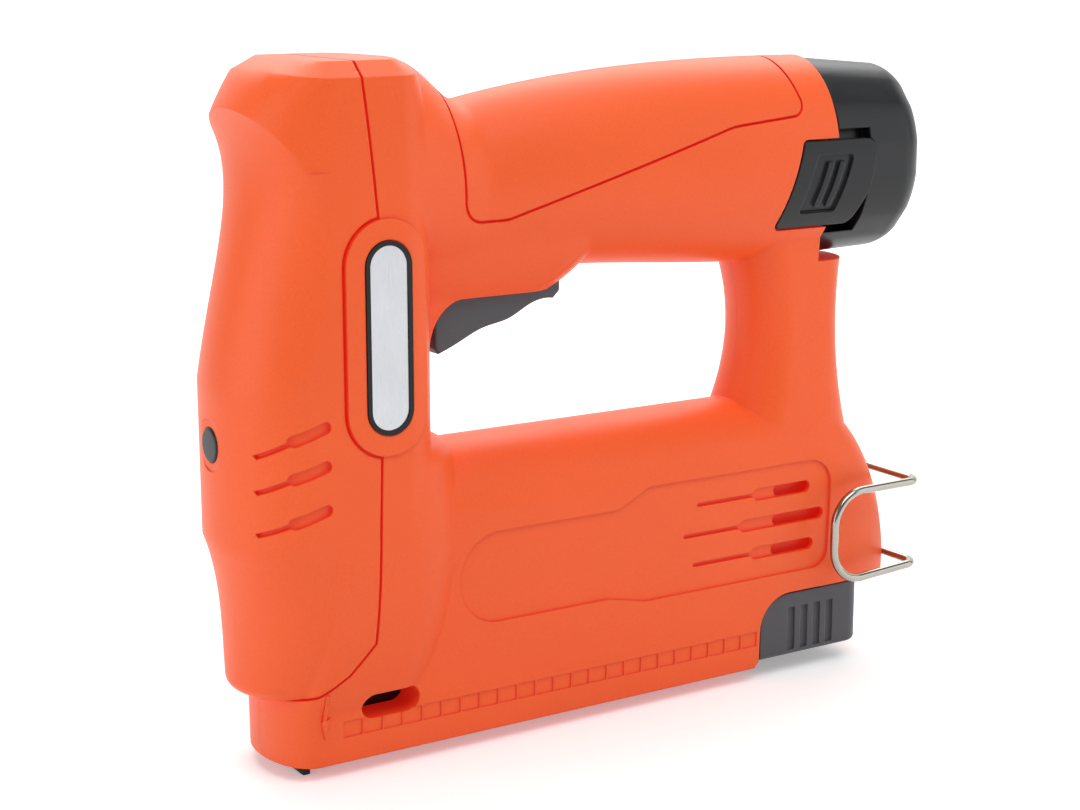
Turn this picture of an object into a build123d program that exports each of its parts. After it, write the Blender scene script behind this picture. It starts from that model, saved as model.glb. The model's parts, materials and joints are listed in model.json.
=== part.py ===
"""Cordless stapler: moulded housing, battery, magazine and firing mechanism, in millimetres.

X runs to the rear, Y to the operator's right and Z up. The origin is where a staple leaves the nose,
so the hammer moves along the Z axis and the motor shaft is parallel to X.
"""

import os
from math import acos, cos, pi, radians, sin, tan

from build123d import *

os.makedirs("parts", exist_ok=True)

# Clearances
seam = 0.8  # groove between two mouldings
running = 0.35  # between pieces that move past each other
seat = 0.1  # between a fixed piece and its seat
shaft_play = 0.05  # radial play of a shaft or a pin

# Mouldings
wall = 2.5
handle_wall = 4.2  # carries the grip cover
grip_depth = 2.0
tongue = 1.5  # how far the seam's tongue stands behind each edge
panel_depth = 0.8
base_height = 4.5
crown_height = 91.0
top_height = 203.0
top_chamfer = 4.3
skirt_round = 4.0
skirt_height = 24.8
shoulder_round = 6.0
lower_half_width = 18.7
crown_radius = 20.8
column_half_width = 27.0
rear_end = 212.5
collar_end = 179.5
collar_half_width = 24.6
saddle_height = 135.0
collar_top = 199.2

# Plan levels: height, front, end of the front curve, start of the rear curve, rear, half width
nose_top = (20.0, -11.2, -1.0, 24.0, 36.6, 19.25)
nose_levels = (
    (base_height, -11.2, -1.0, 24.0, 36.0, lower_half_width),
    nose_top,
)
throat_levels = (
    nose_top,
    (44.7, -11.4, 4.0, 24.0, 48.8, 26.2),
    (69.4, -11.4, 4.0, 24.0, 51.6, 27.1),
    (94.1, -11.4, 4.0, 24.0, 48.0, 25.6),
)
skirt_levels = (
    (20.0, -19.5, 4.0, 20.0, 32.0, 18.6),
    (32.5, -19.55, 4.0, 20.0, 32.0, 22.5),
    (45.0, -19.55, 4.0, 20.0, 32.0, 25.6),
    (57.5, -20.7, 1.5, 20.0, 32.0, 26.4),
    (70.0, -23.8, -3.0, 20.0, 32.0, column_half_width),
)
column_levels = (
    (70.0, -23.8, -3.0, 24.0, 40.5, column_half_width),
    (174.0, -23.8, -3.0, 24.0, 40.5, column_half_width),
)
brow_levels = (
    (174.0, -22.0, 4.0, 24.0, 40.5, column_half_width),
    (188.5, -17.3, 4.0, 24.0, 40.0, 26.6),
    (top_height, -6.8, 5.0, 24.0, 34.5, 25.6),
)
scoop_levels = (
    (104.0, -25.4, -2.0, 24.0, 60.0, 28.4),
    (127.0, -21.6, 2.0, 24.0, 60.0, 27.8),
    (150.0, -16.4, 6.6, 24.0, 60.0, 27.7),
    (173.0, -12.7, 1.6, 24.0, 60.0, 27.8),
    (196.0, -20.4, -18.0, 24.0, 60.0, 28.6),
)
post_levels = (
    (80.0, 149.0, 166.0, 184.0, 200.0, 17.2),
    (114.0, 159.5, 171.0, 184.0, 194.6, 15.0),
    (148.0, 149.0, 166.0, 184.0, 198.0, 16.6),
)
pod_levels = (
    (133.4, 22.0, 34.0, 74.0, 86.5, 9.8),
    (145.2, 22.0, 34.0, 86.0, 101.0, 15.2),
    (157.0, 22.0, 34.0, 92.0, 108.0, 17.6),
)
# Handle sections: station, bottom, top, half width
neck_end = (55.5, 138.6, 190.2, 20.0)
handle_sections = (
    neck_end,
    (96.8, 139.1, 196.3, 21.6),
    (138.2, 136.1, 198.9, 23.7),
    (collar_end, saddle_height, collar_top, collar_half_width),
)
# Neck sections, where the handle flares into the column
neck_sections = (
    (25.0, 138.0, 201.5, 26.6),
    (32.6, 138.0, 202.8, 25.0),
    (40.2, 138.2, 199.6, 23.0),
    (47.9, 138.4, 193.1, 21.2),
    neck_end,
)
# Rear sections of the lower body: station, half width at the base and at the crown, crown centre, top
body_straight_end = 178.0
crown_center = crown_height - crown_radius
rear_sections = (
    (body_straight_end, lower_half_width, crown_radius, crown_center, crown_height),
    (195.3, 18.5, 20.4, 62.0, 84.0),
    (rear_end, 12.5, 13.5, 33.0, 50.0),
)

# Mechanism
motor_height = 58.0
lifter_x = 23.5
motor_radius = 17.5
motor_front = 104.0
motor_rear = 154.0
shaft_radius = 3.5
frame_sheet = 1.8
frame_half_width = 14.1
collar_center = (saddle_height + collar_top) / 2


def block(x0, x1, y0, y1, z0, z1):
    """A plain block between two corners."""
    with BuildPart() as piece:
        with Locations(((x0 + x1) / 2, (y0 + y1) / 2, (z0 + z1) / 2)):
            Box(x1 - x0, y1 - y0, z1 - z0)
    return piece.part


def rod_x(radius, x0, x1, y, z):
    """A round bar along X."""
    with BuildPart() as piece:
        with BuildSketch(Plane.YZ.offset(x0)):
            with Locations((y, z)):
                Circle(radius)
        extrude(amount=x1 - x0)
    return piece.part


def rod_y(radius, x, y0, y1, z):
    """A round bar along Y."""
    with BuildPart() as piece:
        with BuildSketch(Plane.XZ.offset(-y0)):
            with Locations((x, z)):
                Circle(radius)
        extrude(amount=y0 - y1)
    return piece.part


def rod_z(radius, x, y, z0, z1):
    """A round bar along Z."""
    with BuildPart() as piece:
        with BuildSketch(Plane.XY.offset(z0)):
            with Locations((x, y)):
                Circle(radius)
        extrude(amount=z1 - z0)
    return piece.part


def side_plate(points, y0, y1, radius=0.0, grow=0.0):
    """A plate seen from the side: an outline in X and Z, its corners rounded, from y0 to y1."""
    with BuildPart() as piece:
        with BuildSketch(Plane.XZ.offset(-y0)):
            with BuildLine():
                if radius:
                    FilletPolyline(*points, radius=radius, close=True)
                else:
                    Polyline(*points, close=True)
            make_face()
            if grow:
                offset(amount=grow, kind=Kind.INTERSECTION, mode=Mode.REPLACE)
        extrude(amount=y0 - y1)
    return piece.part


def pill_plate(length, width, x, z, y0, y1, turn=90.0):
    """A round-ended plate seen from the side."""
    with BuildPart() as piece:
        with BuildSketch(Plane.XZ.offset(-y0)):
            with Locations((x, z)):
                SlotOverall(length, width, rotation=turn)
        extrude(amount=y0 - y1)
    return piece.part


def plan_form(levels, inset=0.0, bottom=0.0, top=0.0):
    """Loft through straight-sided ovals, drawn in by inset and cut short by bottom and top."""
    with BuildPart() as form:
        for height, front, front_turn, rear_turn, rear, half in levels:
            level = height
            if height == levels[0][0]:
                level = height + bottom
            if height == levels[-1][0]:
                level = height - top
            side = half - inset
            with BuildSketch(Plane.XY.offset(level)):
                with BuildLine():
                    front_reach = front_turn - front - inset
                    rear_reach = rear - rear_turn - inset
                    EllipticalCenterArc((front_turn, 0), front_reach, side, 90, arc_size=180)
                    Line((front_turn, -side), (rear_turn, -side))
                    EllipticalCenterArc((rear_turn, 0), rear_reach, side, -90, arc_size=180)
                    Line((rear_turn, side), (front_turn, side))
                make_face()
        loft()
    return form.part


def scoop_form(inset=0.0):
    """Cutter for the hand scoop across the front of the column."""
    shifted = []
    for height, front, front_turn, rear_turn, rear, half in scoop_levels:
        shifted.append((height, front + inset, front_turn + inset, rear_turn, rear, half))
    with BuildPart() as cutter:
        add(block(-60, 30, -40, 40, scoop_levels[0][0], scoop_levels[-1][0]))
        add(plan_form(shifted), mode=Mode.SUBTRACT)
    return cutter.part


def column_form(inset=0.0):
    """Front column: skirt, straight oval and brow, with the scoop cut out of the front."""
    with BuildPart() as brow:
        add(plan_form(brow_levels, inset, top=2 * max(inset, 0.0)))
        if inset <= 0:
            chamfer(brow.faces().sort_by(Axis.Z)[-1].edges(), length=top_chamfer)
    with BuildPart() as skirt:
        add(plan_form(skirt_levels, inset))
        add(block(-60, 80, -40, 40, 0, skirt_height + inset), mode=Mode.SUBTRACT)
        if inset <= 0:
            fillet(skirt.faces().sort_by(Axis.Z)[0].edges(), radius=skirt_round)
    with BuildPart() as form:
        add(plan_form(column_levels, inset))
        add(brow.part)
        add(skirt.part)
        add(scoop_form(inset), mode=Mode.SUBTRACT)
    return form.part


def throat_form(inset=0.0):
    """Throat: it widens from the nose into a rounded shoulder behind the column."""
    with BuildPart() as form:
        add(plan_form(throat_levels, inset, top=inset))
        if inset <= 0:
            fillet(form.faces().sort_by(Axis.Z)[-1].edges(), radius=shoulder_round)
    return form.part


def handle_form(inset=0.0, mouth=0.0):
    """Handle and neck: lofts through ovals along X; mouth carries the last oval past the collar."""
    with BuildPart() as neck:
        for station, bottom, top, half in neck_sections:
            with BuildSketch(Plane.YZ.offset(station)):
                with Locations((0, (bottom + top) / 2)):
                    Ellipse(half - inset, (top - bottom) / 2 - inset)
        loft()
    with BuildPart() as form:
        for station, bottom, top, half in handle_sections:
            with BuildSketch(Plane.YZ.offset(station)):
                with Locations((0, (bottom + top) / 2)):
                    Ellipse(half - inset, (top - bottom) / 2 - inset)
        loft()
        if mouth:
            extrude(form.faces().sort_by(Axis.X)[-1], amount=mouth)
        add(neck.part)
    return form.part


def post_form(inset=0.0):
    """Rear post between the lower body and the collar, cut level behind the collar."""
    with BuildPart() as form:
        add(plan_form(post_levels, inset))
        add(block(collar_end - inset, 260, -40, 40, saddle_height - inset, 180), mode=Mode.SUBTRACT)
    return form.part


def body_form(inset=0.0):
    """Lower body: a round-topped section, straight at first and then closing towards the rear."""
    floor = base_height + inset
    with BuildPart() as form:
        for station, base_half, crown_half, center, top in rear_sections:
            place = station - inset if station == rear_end else station
            base = base_half - inset
            crown = crown_half - inset
            with BuildSketch(Plane.YZ.offset(place)):
                with BuildLine():
                    EllipticalCenterArc((0, center), crown, top - center - inset, 0, arc_size=180)
                    Line((-crown, center), (-base, floor))
                    Line((-base, floor), (base, floor))
                    Line((base, floor), (crown, center))
                make_face()
        loft()
        extrude(form.faces().sort_by(Axis.X)[0], amount=body_straight_end - 5)
    return form.part


def gear_outline(teeth, module, phase, addendum, dedendum, thinning, kept=None):
    """Outline of an involute gear; phase turns its first tooth, thinning is taken off each tooth."""
    pitch = module * teeth / 2
    pressure = radians(20)
    base = pitch * cos(pressure)
    tip = pitch + addendum * module
    root = pitch - dedendum * module
    start = max(base, root)
    half_tooth = pi / (2 * teeth) - thinning / (2 * pitch) + tan(pressure) - pressure
    points = []
    for number in range(kept if kept else teeth):
        middle = radians(phase + 360 * number / teeth)
        flank = []
        if root < start:
            flank.append((root, half_tooth))
        for step in range(4):
            radius = start + (tip - start) * step / 3
            angle = acos(min(1.0, base / radius))
            flank.append((radius, half_tooth - tan(angle) + angle))
        for radius, angle in flank:
            points.append((radius * cos(middle - angle), radius * sin(middle - angle)))
        for radius, angle in reversed(flank):
            points.append((radius * cos(middle + angle), radius * sin(middle + angle)))
    return points


def gear_x(points, x0, x1, y=0.0, z=motor_height):
    """A gear blank along X cut to an outline."""
    with BuildPart() as piece:
        with BuildSketch(Plane.YZ.offset(x0)):
            with BuildLine():
                Polyline(*[(y + a, z + b) for a, b in points], close=True)
            make_face()
        extrude(amount=x1 - x0)
    return piece.part


def spring_z(radius, wire, turns, x, y, z0, z1):
    """A compression spring along Z, one unbroken wound wire."""
    path = Helix((z1 - z0 - wire) / turns, z1 - z0 - wire, radius, (x, y, z0 + wire / 2))
    with BuildPart() as piece:
        with BuildSketch(Plane(path @ 0, z_dir=path % 0)):
            Circle(wire / 2)
        sweep(path=path, is_frenet=True)
    return piece.part


def save(shape, name):
    """Label a finished piece and write it out."""
    shape.label = name
    export_step(shape, "parts/" + name + ".step")


# Web that rounds the finger gap's upper front corner, beside the trigger's slot
web_half = 9.8
web_end = 53.0
web_foot = 118.5
with BuildPart() as corner_web:
    add(block(36, web_end, -web_half, web_half, web_foot, 138))
    with BuildSketch(Plane.XZ):
        with Locations((web_end, web_foot)):
            Ellipse(12.2, 15.0)
    extrude(amount=40, both=True, mode=Mode.SUBTRACT)

# Housing: one hollow form with its features, parted at Y = 0 into two clamshell halves
with BuildPart() as outer:
    add(body_form())
    add(plan_form(nose_levels))
    add(throat_form())
    add(post_form())
    add(column_form())
    add(handle_form())
    add(plan_form(pod_levels))
    add(corner_web.part)

with BuildPart() as cavity:
    add(post_form(wall))
    add(body_form(wall))
    add(plan_form(nose_levels, wall, bottom=wall))
    add(throat_form(wall))
    add(column_form(wall))
    add(handle_form(handle_wall, mouth=5))
    add(plan_form(pod_levels, wall, bottom=wall))

# Seam of the front cover, seen from the side
cover_outline = (
    (11.7, 230.0),
    (11.7, 199.7),
    (15.5, 160.8),
    (15.5, 95.8),
    (14.7, 70.0),
    (13.4, 41.0),
    (6.0, 32.4),
    (-2.5, 26.8),
    (-10.0, 25.0),
    (-60.0, 24.6),
    (-60.0, 230.0),
)
badge_x = 18.4
badge_z = 128.0
badge_length = 54.0
badge_width = 14.2
badge_rim_width = 1.3
pad_length = 66.0
pad_width = 26.0
pad_height = 0.8


def cover_region(grow=0.0):
    """What the front cover takes up, seen from the side: all before its seam but the badge pad."""
    with BuildPart() as region:
        with BuildSketch(Plane.XZ):
            with BuildLine():
                Polyline(*cover_outline, close=True)
            make_face()
            if grow:
                offset(amount=grow, kind=Kind.INTERSECTION, mode=Mode.REPLACE)
            with Locations((badge_x, badge_z)):
                SlotOverall(
                    pad_length + 2 * (seam - grow),
                    pad_width + 2 * (seam - grow),
                    rotation=90,
                    mode=Mode.SUBTRACT,
                )
        extrude(amount=45, both=True)
    return region.part


# The tongue behind the seam takes up the inner part of the wall on both sides of the groove
tongue_depth = wall - 1.0
tongue_foot = 45.0
with BuildPart() as seam_tongue:
    add(column_form(tongue_depth))
    add(column_form(wall + 1.2), mode=Mode.SUBTRACT)
    add(cover_region(seam + tongue), mode=Mode.INTERSECT)
    add(cover_region(-tongue), mode=Mode.SUBTRACT)
    add(block(-60, 60, -40, 40, 0, tongue_foot), mode=Mode.SUBTRACT)

with BuildPart() as tongue_slot:
    add(column_form(tongue_depth - seat))
    add(cover_region(-tongue - seat), mode=Mode.SUBTRACT)
    add(block(-60, 60, -40, 40, 0, tongue_foot - seat), mode=Mode.SUBTRACT)

with BuildPart() as badge_pad:
    add(plan_form(column_levels, -pad_height))
    add(plan_form(column_levels, 1.0), mode=Mode.SUBTRACT)
    add(pill_plate(pad_length, pad_width, badge_x, badge_z, -40, 40), mode=Mode.INTERSECT)

# Side panel, vents, window and length scale of the lower body
panel_outline = (
    (44.5, 38.0),
    (97.0, 38.0),
    (111.0, 35.0),
    (183.0, 35.0),
    (183.0, 71.7),
    (111.0, 71.7),
    (100.0, 66.0),
    (44.5, 66.0),
)
panel_rounds = (13.5, 8.0, 8.0, 6.0, 9.0, 6.0, 6.0, 13.5)
with BuildPart() as panels:
    add(side_plate(panel_outline, -40, 40, panel_rounds))
    add(body_form(panel_depth), mode=Mode.SUBTRACT)

# Vents: height, start of the narrow slot, start and end of the wide slot
vent_rows = ((63.0, 130.0, 152.0, 175.0), (53.3, 125.0, 147.0, 181.0), (43.5, 129.0, 152.0, 177.5))
vent_narrow = 1.3
vent_wide = 4.0
vent_depth = 1.9
vent_open = 161.0  # behind this station the wide slots go through the wall
with BuildPart() as vents:
    for height, narrow_start, wide_start, wide_end in vent_rows:
        narrow_length = wide_start + 2 - narrow_start
        wide_length = wide_end - wide_start
        add(pill_plate(narrow_length, vent_narrow, narrow_start + narrow_length / 2, height, -40, 40, 0))
        add(pill_plate(wide_length, vent_wide, wide_start + wide_length / 2, height, -40, 40, 0))
    add(body_form(vent_depth), mode=Mode.SUBTRACT)

with BuildPart() as vent_openings:
    for height, narrow_start, wide_start, wide_end in vent_rows:
        open_length = wide_end - vent_open
        add(pill_plate(open_length, vent_wide, vent_open + open_length / 2, height, -40, 40, 0))
    add(body_form(wall + 0.3), mode=Mode.SUBTRACT)

window_x = 21.5
window_z = 20.0
window_length = 19.0
window_width = 8.0
sleeve_wall = 1.6
sleeve_end = 8.4
with BuildPart() as windows:
    add(pill_plate(window_length, window_width, window_x, window_z, -40, 0.3 - sleeve_end, 0))
    add(pill_plate(window_length, window_width, window_x, window_z, sleeve_end - 0.3, 40, 0))

with BuildPart() as window_sleeves:
    sleeve_length = window_length + 2 * sleeve_wall
    sleeve_width = window_width + 2 * sleeve_wall
    add(pill_plate(sleeve_length, sleeve_width, window_x, window_z, -40, -sleeve_end, 0))
    add(pill_plate(sleeve_length, sleeve_width, window_x, window_z, sleeve_end, 40, 0))
    add(outer.part, mode=Mode.INTERSECT)

scale_pitch = 6.5
scale_cells = 23
scale_depth = 0.45
scale_z = 14.5
with BuildPart() as scale_marks:
    for number in range(scale_cells):
        with Locations((6.0 + scale_pitch * (number + 0.5), 0, scale_z)):
            Box(scale_pitch - 0.5, 80, 4.8)
    add(body_form(scale_depth), mode=Mode.SUBTRACT)
    add(plan_form(nose_levels, scale_depth), mode=Mode.SUBTRACT)

# Magazine tail's place under the rear of the lower body
tail_front = 157.4
tail_top = 27.4
tail_round = 10.8


def tail_zone(grow=0.0):
    """The tail's outline from the side, square below and round at its upper front corner."""
    round_x = tail_front + tail_round
    round_z = tail_top - tail_round
    with BuildPart() as zone:
        add(block(round_x, 240, -40, 40, -5, tail_top + grow))
        add(block(tail_front - grow, 240, -40, 40, -5, round_z))
        add(rod_y(tail_round + grow, round_x, -40, 40, round_z))
    return zone.part


with BuildPart() as tail_roof:
    add(tail_zone(seam + wall))
    add(body_form(0.6), mode=Mode.INTERSECT)

# Grip cover on top of the handle
grip_outline = (
    (45.0, 210.0),
    (47.5, 157.0),
    (62.0, 157.0),
    (140.0, 180.0),
    (167.5, 182.5),
    (163.0, 210.0),
)
grip_rounds = (2.0, 6.0, 9.0, 30.0, 4.0, 2.0)

with BuildPart() as grip_bed:
    add(side_plate(grip_outline, -40, 40, grip_rounds, grow=seam))
    add(handle_form(grip_depth + seat), mode=Mode.SUBTRACT)

# Screw bosses, seen from the side
screw_places = ((26.0, 186.0), (30.0, 120.0), (104.0, 150.0), (177.0, 112.0), (196.0, 62.0), (72.0, 33.0),
                (149.0, 31.0))
boss_radius = 4.2
pilot_radius = 1.3
screw_seat = 10.0
with BuildPart() as bosses:
    for x, z in screw_places:
        add(rod_y(boss_radius, x, -40, 40, z))
    add(outer.part, mode=Mode.INTERSECT)

# Posts on the left wall that carry the controller board, between the vents
board_back = -9.6
post_places = ((166.0, 48.4), (184.0, 48.4), (166.0, 58.2), (184.0, 58.2))
with BuildPart() as board_posts:
    for x, z in post_places:
        add(rod_y(2.0, x, -40, board_back - seat, z))
    add(outer.part, mode=Mode.INTERSECT)

# Baffles behind the open vents keep dust and fingers off the board
baffle_face = 15.4
baffle_back = 14.0
with BuildPart() as vent_baffles:
    add(block(159.2, 186.0, -baffle_face, -baffle_back, 39.0, 67.5))
    add(block(159.2, 186.0, baffle_back, baffle_face, 39.0, 67.5))
    for x, z in post_places:
        add(rod_y(2.0, x, baffle_back + 0.2, 40, z))
    add(outer.part, mode=Mode.INTERSECT)

# Ribs across the housing that carry the motor, the gear case, the frame and the terminal block
rib = 2.4
gear_case_radius = 17.3
with BuildPart() as body_ribs:
    for start in (41.0, 92.0, 118.0, 142.0):
        add(block(start, start + rib, -30, 30, 5, 95))
    add(body_form(1.0), mode=Mode.INTERSECT)
    add(rod_x(motor_radius + seat, 100, 150, 0, motor_height), mode=Mode.SUBTRACT)
    add(rod_x(gear_case_radius + seat, 84, 104, 0, motor_height), mode=Mode.SUBTRACT)
    add(block(36, 50, -frame_half_width - seat, frame_half_width + seat, 32.5, 82.5), mode=Mode.SUBTRACT)
    add(block(36, 160, -8.4, 8.4, 0, 24), mode=Mode.SUBTRACT)

terminal_block_box = (127.0, 137.5, -12.0, 12.0, 158.0, 176.0)
with BuildPart() as handle_rib:
    add(block(130.0, 130.0 + rib, -30, 30, 130, 205))
    add(handle_form(grip_depth + 1.2), mode=Mode.INTERSECT)
    add(block(128, 136, -12 - seat, 12 + seat, 158 - seat, 176 + seat), mode=Mode.SUBTRACT)
    add(rod_x(5.0, 128, 136, 0, 147), mode=Mode.SUBTRACT)

# Belt hook sockets in the rear wall
hook_wire = 1.35
hook_end_y = 5.0
hook_heights = (33.0, 61.0)
with BuildPart() as hook_sockets:
    for height in hook_heights:
        add(rod_x(3.4, 196, 213, hook_end_y, height))
    add(outer.part, mode=Mode.INTERSECT)

# Battery latch seen from the side, leaning back towards its top
latch_outline = ((166.0, 174.0), (195.4, 174.0), (193.4, 158.0), (188.0, 147.0), (158.4, 147.0))
latch_rounds = (1.5, 4.0, 9.0, 4.0, 1.5)
latch_gap = 0.6
# Bosses that hold the trigger's pin on both sides of its slot
pivot_x = 80.0
pivot_z = 141.5
trigger_half_width = 6.9
trigger_pin_radius = 1.5
trigger_pin_half = 9.6
with BuildPart() as pin_bosses:
    add(rod_y(3.6, pivot_x, -40, 40, pivot_z))
    add(plan_form(pod_levels, 1.0), mode=Mode.INTERSECT)

with BuildPart() as housing:
    add(outer.part)
    add(cavity.part, mode=Mode.SUBTRACT)
    add(cover_region(seam), mode=Mode.SUBTRACT)
    fittings = [seam_tongue.part, badge_pad.part, bosses.part, body_ribs.part, handle_rib.part]
    fittings += [hook_sockets.part, tail_roof.part, pin_bosses.part, board_posts.part]
    fittings += [vent_baffles.part, window_sleeves.part]
    add(fittings)
    hook_holes = [rod_x(hook_wire + seat, 199, 216, hook_end_y, height) for height in hook_heights]
    cuts = [tail_zone(seam), panels.part, vents.part, windows.part, scale_marks.part, grip_bed.part]
    cuts.append(vent_openings.part)
    cuts.append(block(0.4, 158, -8, 8, 0, 23.5))
    cuts.append(block(-4.5, 1, -11.5, 11.5, 0, 28))
    slot_half = trigger_half_width + running
    cuts.append(block(40.9, 87.8, -slot_half, slot_half, 115, 149))
    pin_bore = trigger_pin_radius + shaft_play
    cuts.append(rod_y(pin_bore, pivot_x, -trigger_pin_half, trigger_pin_half, pivot_z))
    cuts.append(side_plate(latch_outline, -40, -12, latch_rounds, grow=latch_gap))
    cuts.append(side_plate(latch_outline, 12, 40, latch_rounds, grow=latch_gap))
    cuts.append(side_plate(((153.8, 3.0), (159.0, 3.0), (159.0, 9.7)), -40, 40))
    add(cuts + hook_holes, mode=Mode.SUBTRACT)

with BuildPart() as left_housing:
    add(housing.part)
    pilots = [rod_y(pilot_radius, x, -13, 1, z) for x, z in screw_places]
    badge_bed = pill_plate(badge_length + 0.4, badge_width + 0.4, badge_x, badge_z, -40, -26.7)
    add([block(-80, 260, 0, 60, -20, 240), badge_bed] + pilots, mode=Mode.SUBTRACT)
save(left_housing.part, "left_housing")

with BuildPart() as right_housing:
    add(housing.part)
    shank_holes = [rod_y(pilot_radius + 0.4, x, -1, 40, z) for x, z in screw_places]
    head_wells = [rod_y(3.5, x, screw_seat, 40, z) for x, z in screw_places]
    add([block(-80, 260, -60, 0, -20, 240)] + shank_holes + head_wells, mode=Mode.SUBTRACT)
save(right_housing.part, "right_housing")
print("halves", left_housing.part.is_valid, right_housing.part.is_valid)

with BuildPart() as grip_cover:
    add(handle_form())
    add(handle_form(grip_depth), mode=Mode.SUBTRACT)
    add(side_plate(grip_outline, -40, 40, grip_rounds), mode=Mode.INTERSECT)
save(grip_cover.part, "grip_cover")

# Front cover with its plug, screw and finger slots
plug_z = 98.0
plug_radius = 5.0
cover_face = column_levels[0][1]
slot_depth = 1.3
# Slots: right end, neck and left end as X and Z
slot_rows = (
    ((-1.3, 105.2), (-10.0, 102.2), (-18.4, 97.4)),
    ((-1.3, 94.3), (-10.0, 91.6), (-18.4, 87.4)),
    ((-1.3, 82.0), (-10.0, 79.2), (-18.4, 75.4)),
)
with BuildPart() as cover_slots:
    for right_end, neck, left_end in slot_rows:
        with BuildSketch(Plane.XZ):
            with BuildLine():
                Polyline(right_end, neck)
            trace(line_width=3.4)
            with BuildLine():
                Polyline(neck, left_end)
            trace(line_width=1.4)
            with Locations(right_end):
                Circle(1.7)
            with Locations(neck):
                Circle(1.7)
        extrude(amount=45, both=True)
    add(plan_form(column_levels, slot_depth), mode=Mode.SUBTRACT)

with BuildPart() as front_cover:
    add(outer.part)
    add(cavity.part, mode=Mode.SUBTRACT)
    add(cover_region(), mode=Mode.INTERSECT)
    add(tongue_slot.part, mode=Mode.SUBTRACT)
    add(rod_x(6.0, cover_face + 1, -15, 0, plug_z))
    add(rod_x(7.5, -40, cover_face + 0.4, 0, plug_z), mode=Mode.SUBTRACT)
    add(rod_x(plug_radius + seat, -40, cover_face + 2.1, 0, plug_z), mode=Mode.SUBTRACT)
    add(rod_x(3.6, -40, -17.5, 0, plug_z), mode=Mode.SUBTRACT)
    add(rod_x(1.8, -40, -10, 0, plug_z), mode=Mode.SUBTRACT)
    add(cover_slots.part, mode=Mode.SUBTRACT)
save(front_cover.part, "front_cover")

# Badge, left bare
pad_face = -column_half_width - pad_height
with BuildPart() as badge_rim:
    add(pill_plate(badge_length, badge_width, badge_x, badge_z, pad_face - 0.3, -26.8))
    inner_length = badge_length - 2 * badge_rim_width
    inner_width = badge_width - 2 * badge_rim_width
    add(pill_plate(inner_length, inner_width, badge_x, badge_z, -40, 0), mode=Mode.SUBTRACT)
save(badge_rim.part, "badge_rim")

with BuildPart() as badge_plate:
    plate_length = inner_length - 2 * seat
    plate_width = inner_width - 2 * seat
    add(pill_plate(plate_length, plate_width, badge_x, badge_z, pad_face + 0.1, -26.8))
save(badge_plate.part, "badge_plate")

# Screws
with BuildPart() as housing_screws:
    for x, z in screw_places:
        add(rod_y(3.1, x, screw_seat + seat, screw_seat + 2.6, z))
        add(rod_y(pilot_radius - shaft_play, x, -12, screw_seat + seat, z))
        add(rod_y(1.3, x, screw_seat + 1.4, screw_seat + 3, z), mode=Mode.SUBTRACT)
save(housing_screws.part, "housing_screws")

with BuildPart() as front_cover_screw:
    add(rod_x(3.1, -20.4, -17.6, 0, plug_z))
    add(rod_x(1.5, -17.6, -8.0, 0, plug_z))
    add(rod_x(1.3, -21, -19, 0, plug_z), mode=Mode.SUBTRACT)
save(front_cover_screw.part, "front_cover_screw")

with BuildPart() as front_plug:
    add(rod_x(plug_radius, cover_face - 0.1, cover_face + 2.0, 0, plug_z))
    fillet(front_plug.faces().sort_by(Axis.X)[0].edges(), radius=0.7)
    add(rod_x(3.5, cover_face + 1.9, cover_face + 3, 0, plug_z))
save(front_plug.part, "front_plug")

# Belt hook: one bent wire, both ends in the rear wall
hook_face = -27.5
hook_rear = 214.8
hook_front = 179.5
hook_low, hook_high = hook_heights
with BuildPart() as belt_hook:
    with BuildLine() as hook_path:
        FilletPolyline(
            (200.0, hook_end_y, hook_low),
            (hook_rear, hook_end_y, hook_low),
            (hook_rear, hook_face, hook_low),
            (hook_front, hook_face, hook_low - 2.0),
            (hook_front, hook_face, hook_high),
            (hook_rear, hook_face, hook_high),
            (hook_rear, hook_end_y, hook_high),
            (200.0, hook_end_y, hook_high),
            radius=(3.0, 4.0, 11.0, 11.0, 4.0, 3.0),
        )
    with BuildSketch(Plane(hook_path.line @ 0, z_dir=hook_path.line % 0)):
        Circle(hook_wire)
    sweep()
save(belt_hook.part, "belt_hook")

# Trigger on its pin, with spring and switch
trigger_edge = (
    (45.8, 117.3),
    (52.7, 120.1),
    (61.2, 123.7),
    (69.8, 125.6),
    (76.7, 129.0),
    (85.2, 130.3),
)
trigger_back = (
    (85.2, 130.3),
    (87.0, 132.0),
    (87.0, 144.0),
    (83.0, 146.6),
    (77.0, 146.6),
    (72.0, 142.9),
    (44.4, 142.9),
    (44.4, 119.0),
    (45.8, 117.3),
)
with BuildPart() as trigger:
    with BuildSketch(Plane.XZ):
        with BuildLine():
            Spline(*trigger_edge)
            Polyline(*trigger_back)
        make_face()
    extrude(amount=trigger_half_width, both=True)
    round_edges = trigger.edges().filter_by(Axis.Y, reverse=True).filter_by_position(Axis.Z, 116, 134)
    fillet(round_edges, radius=1.0)
    add(rod_y(trigger_pin_radius + shaft_play, pivot_x, -20, 20, pivot_z), mode=Mode.SUBTRACT)
save(trigger.part, "trigger")

with BuildPart() as trigger_pin:
    add(rod_y(trigger_pin_radius, pivot_x, seat - trigger_pin_half, trigger_pin_half - seat, pivot_z))
save(trigger_pin.part, "trigger_pin")

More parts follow.
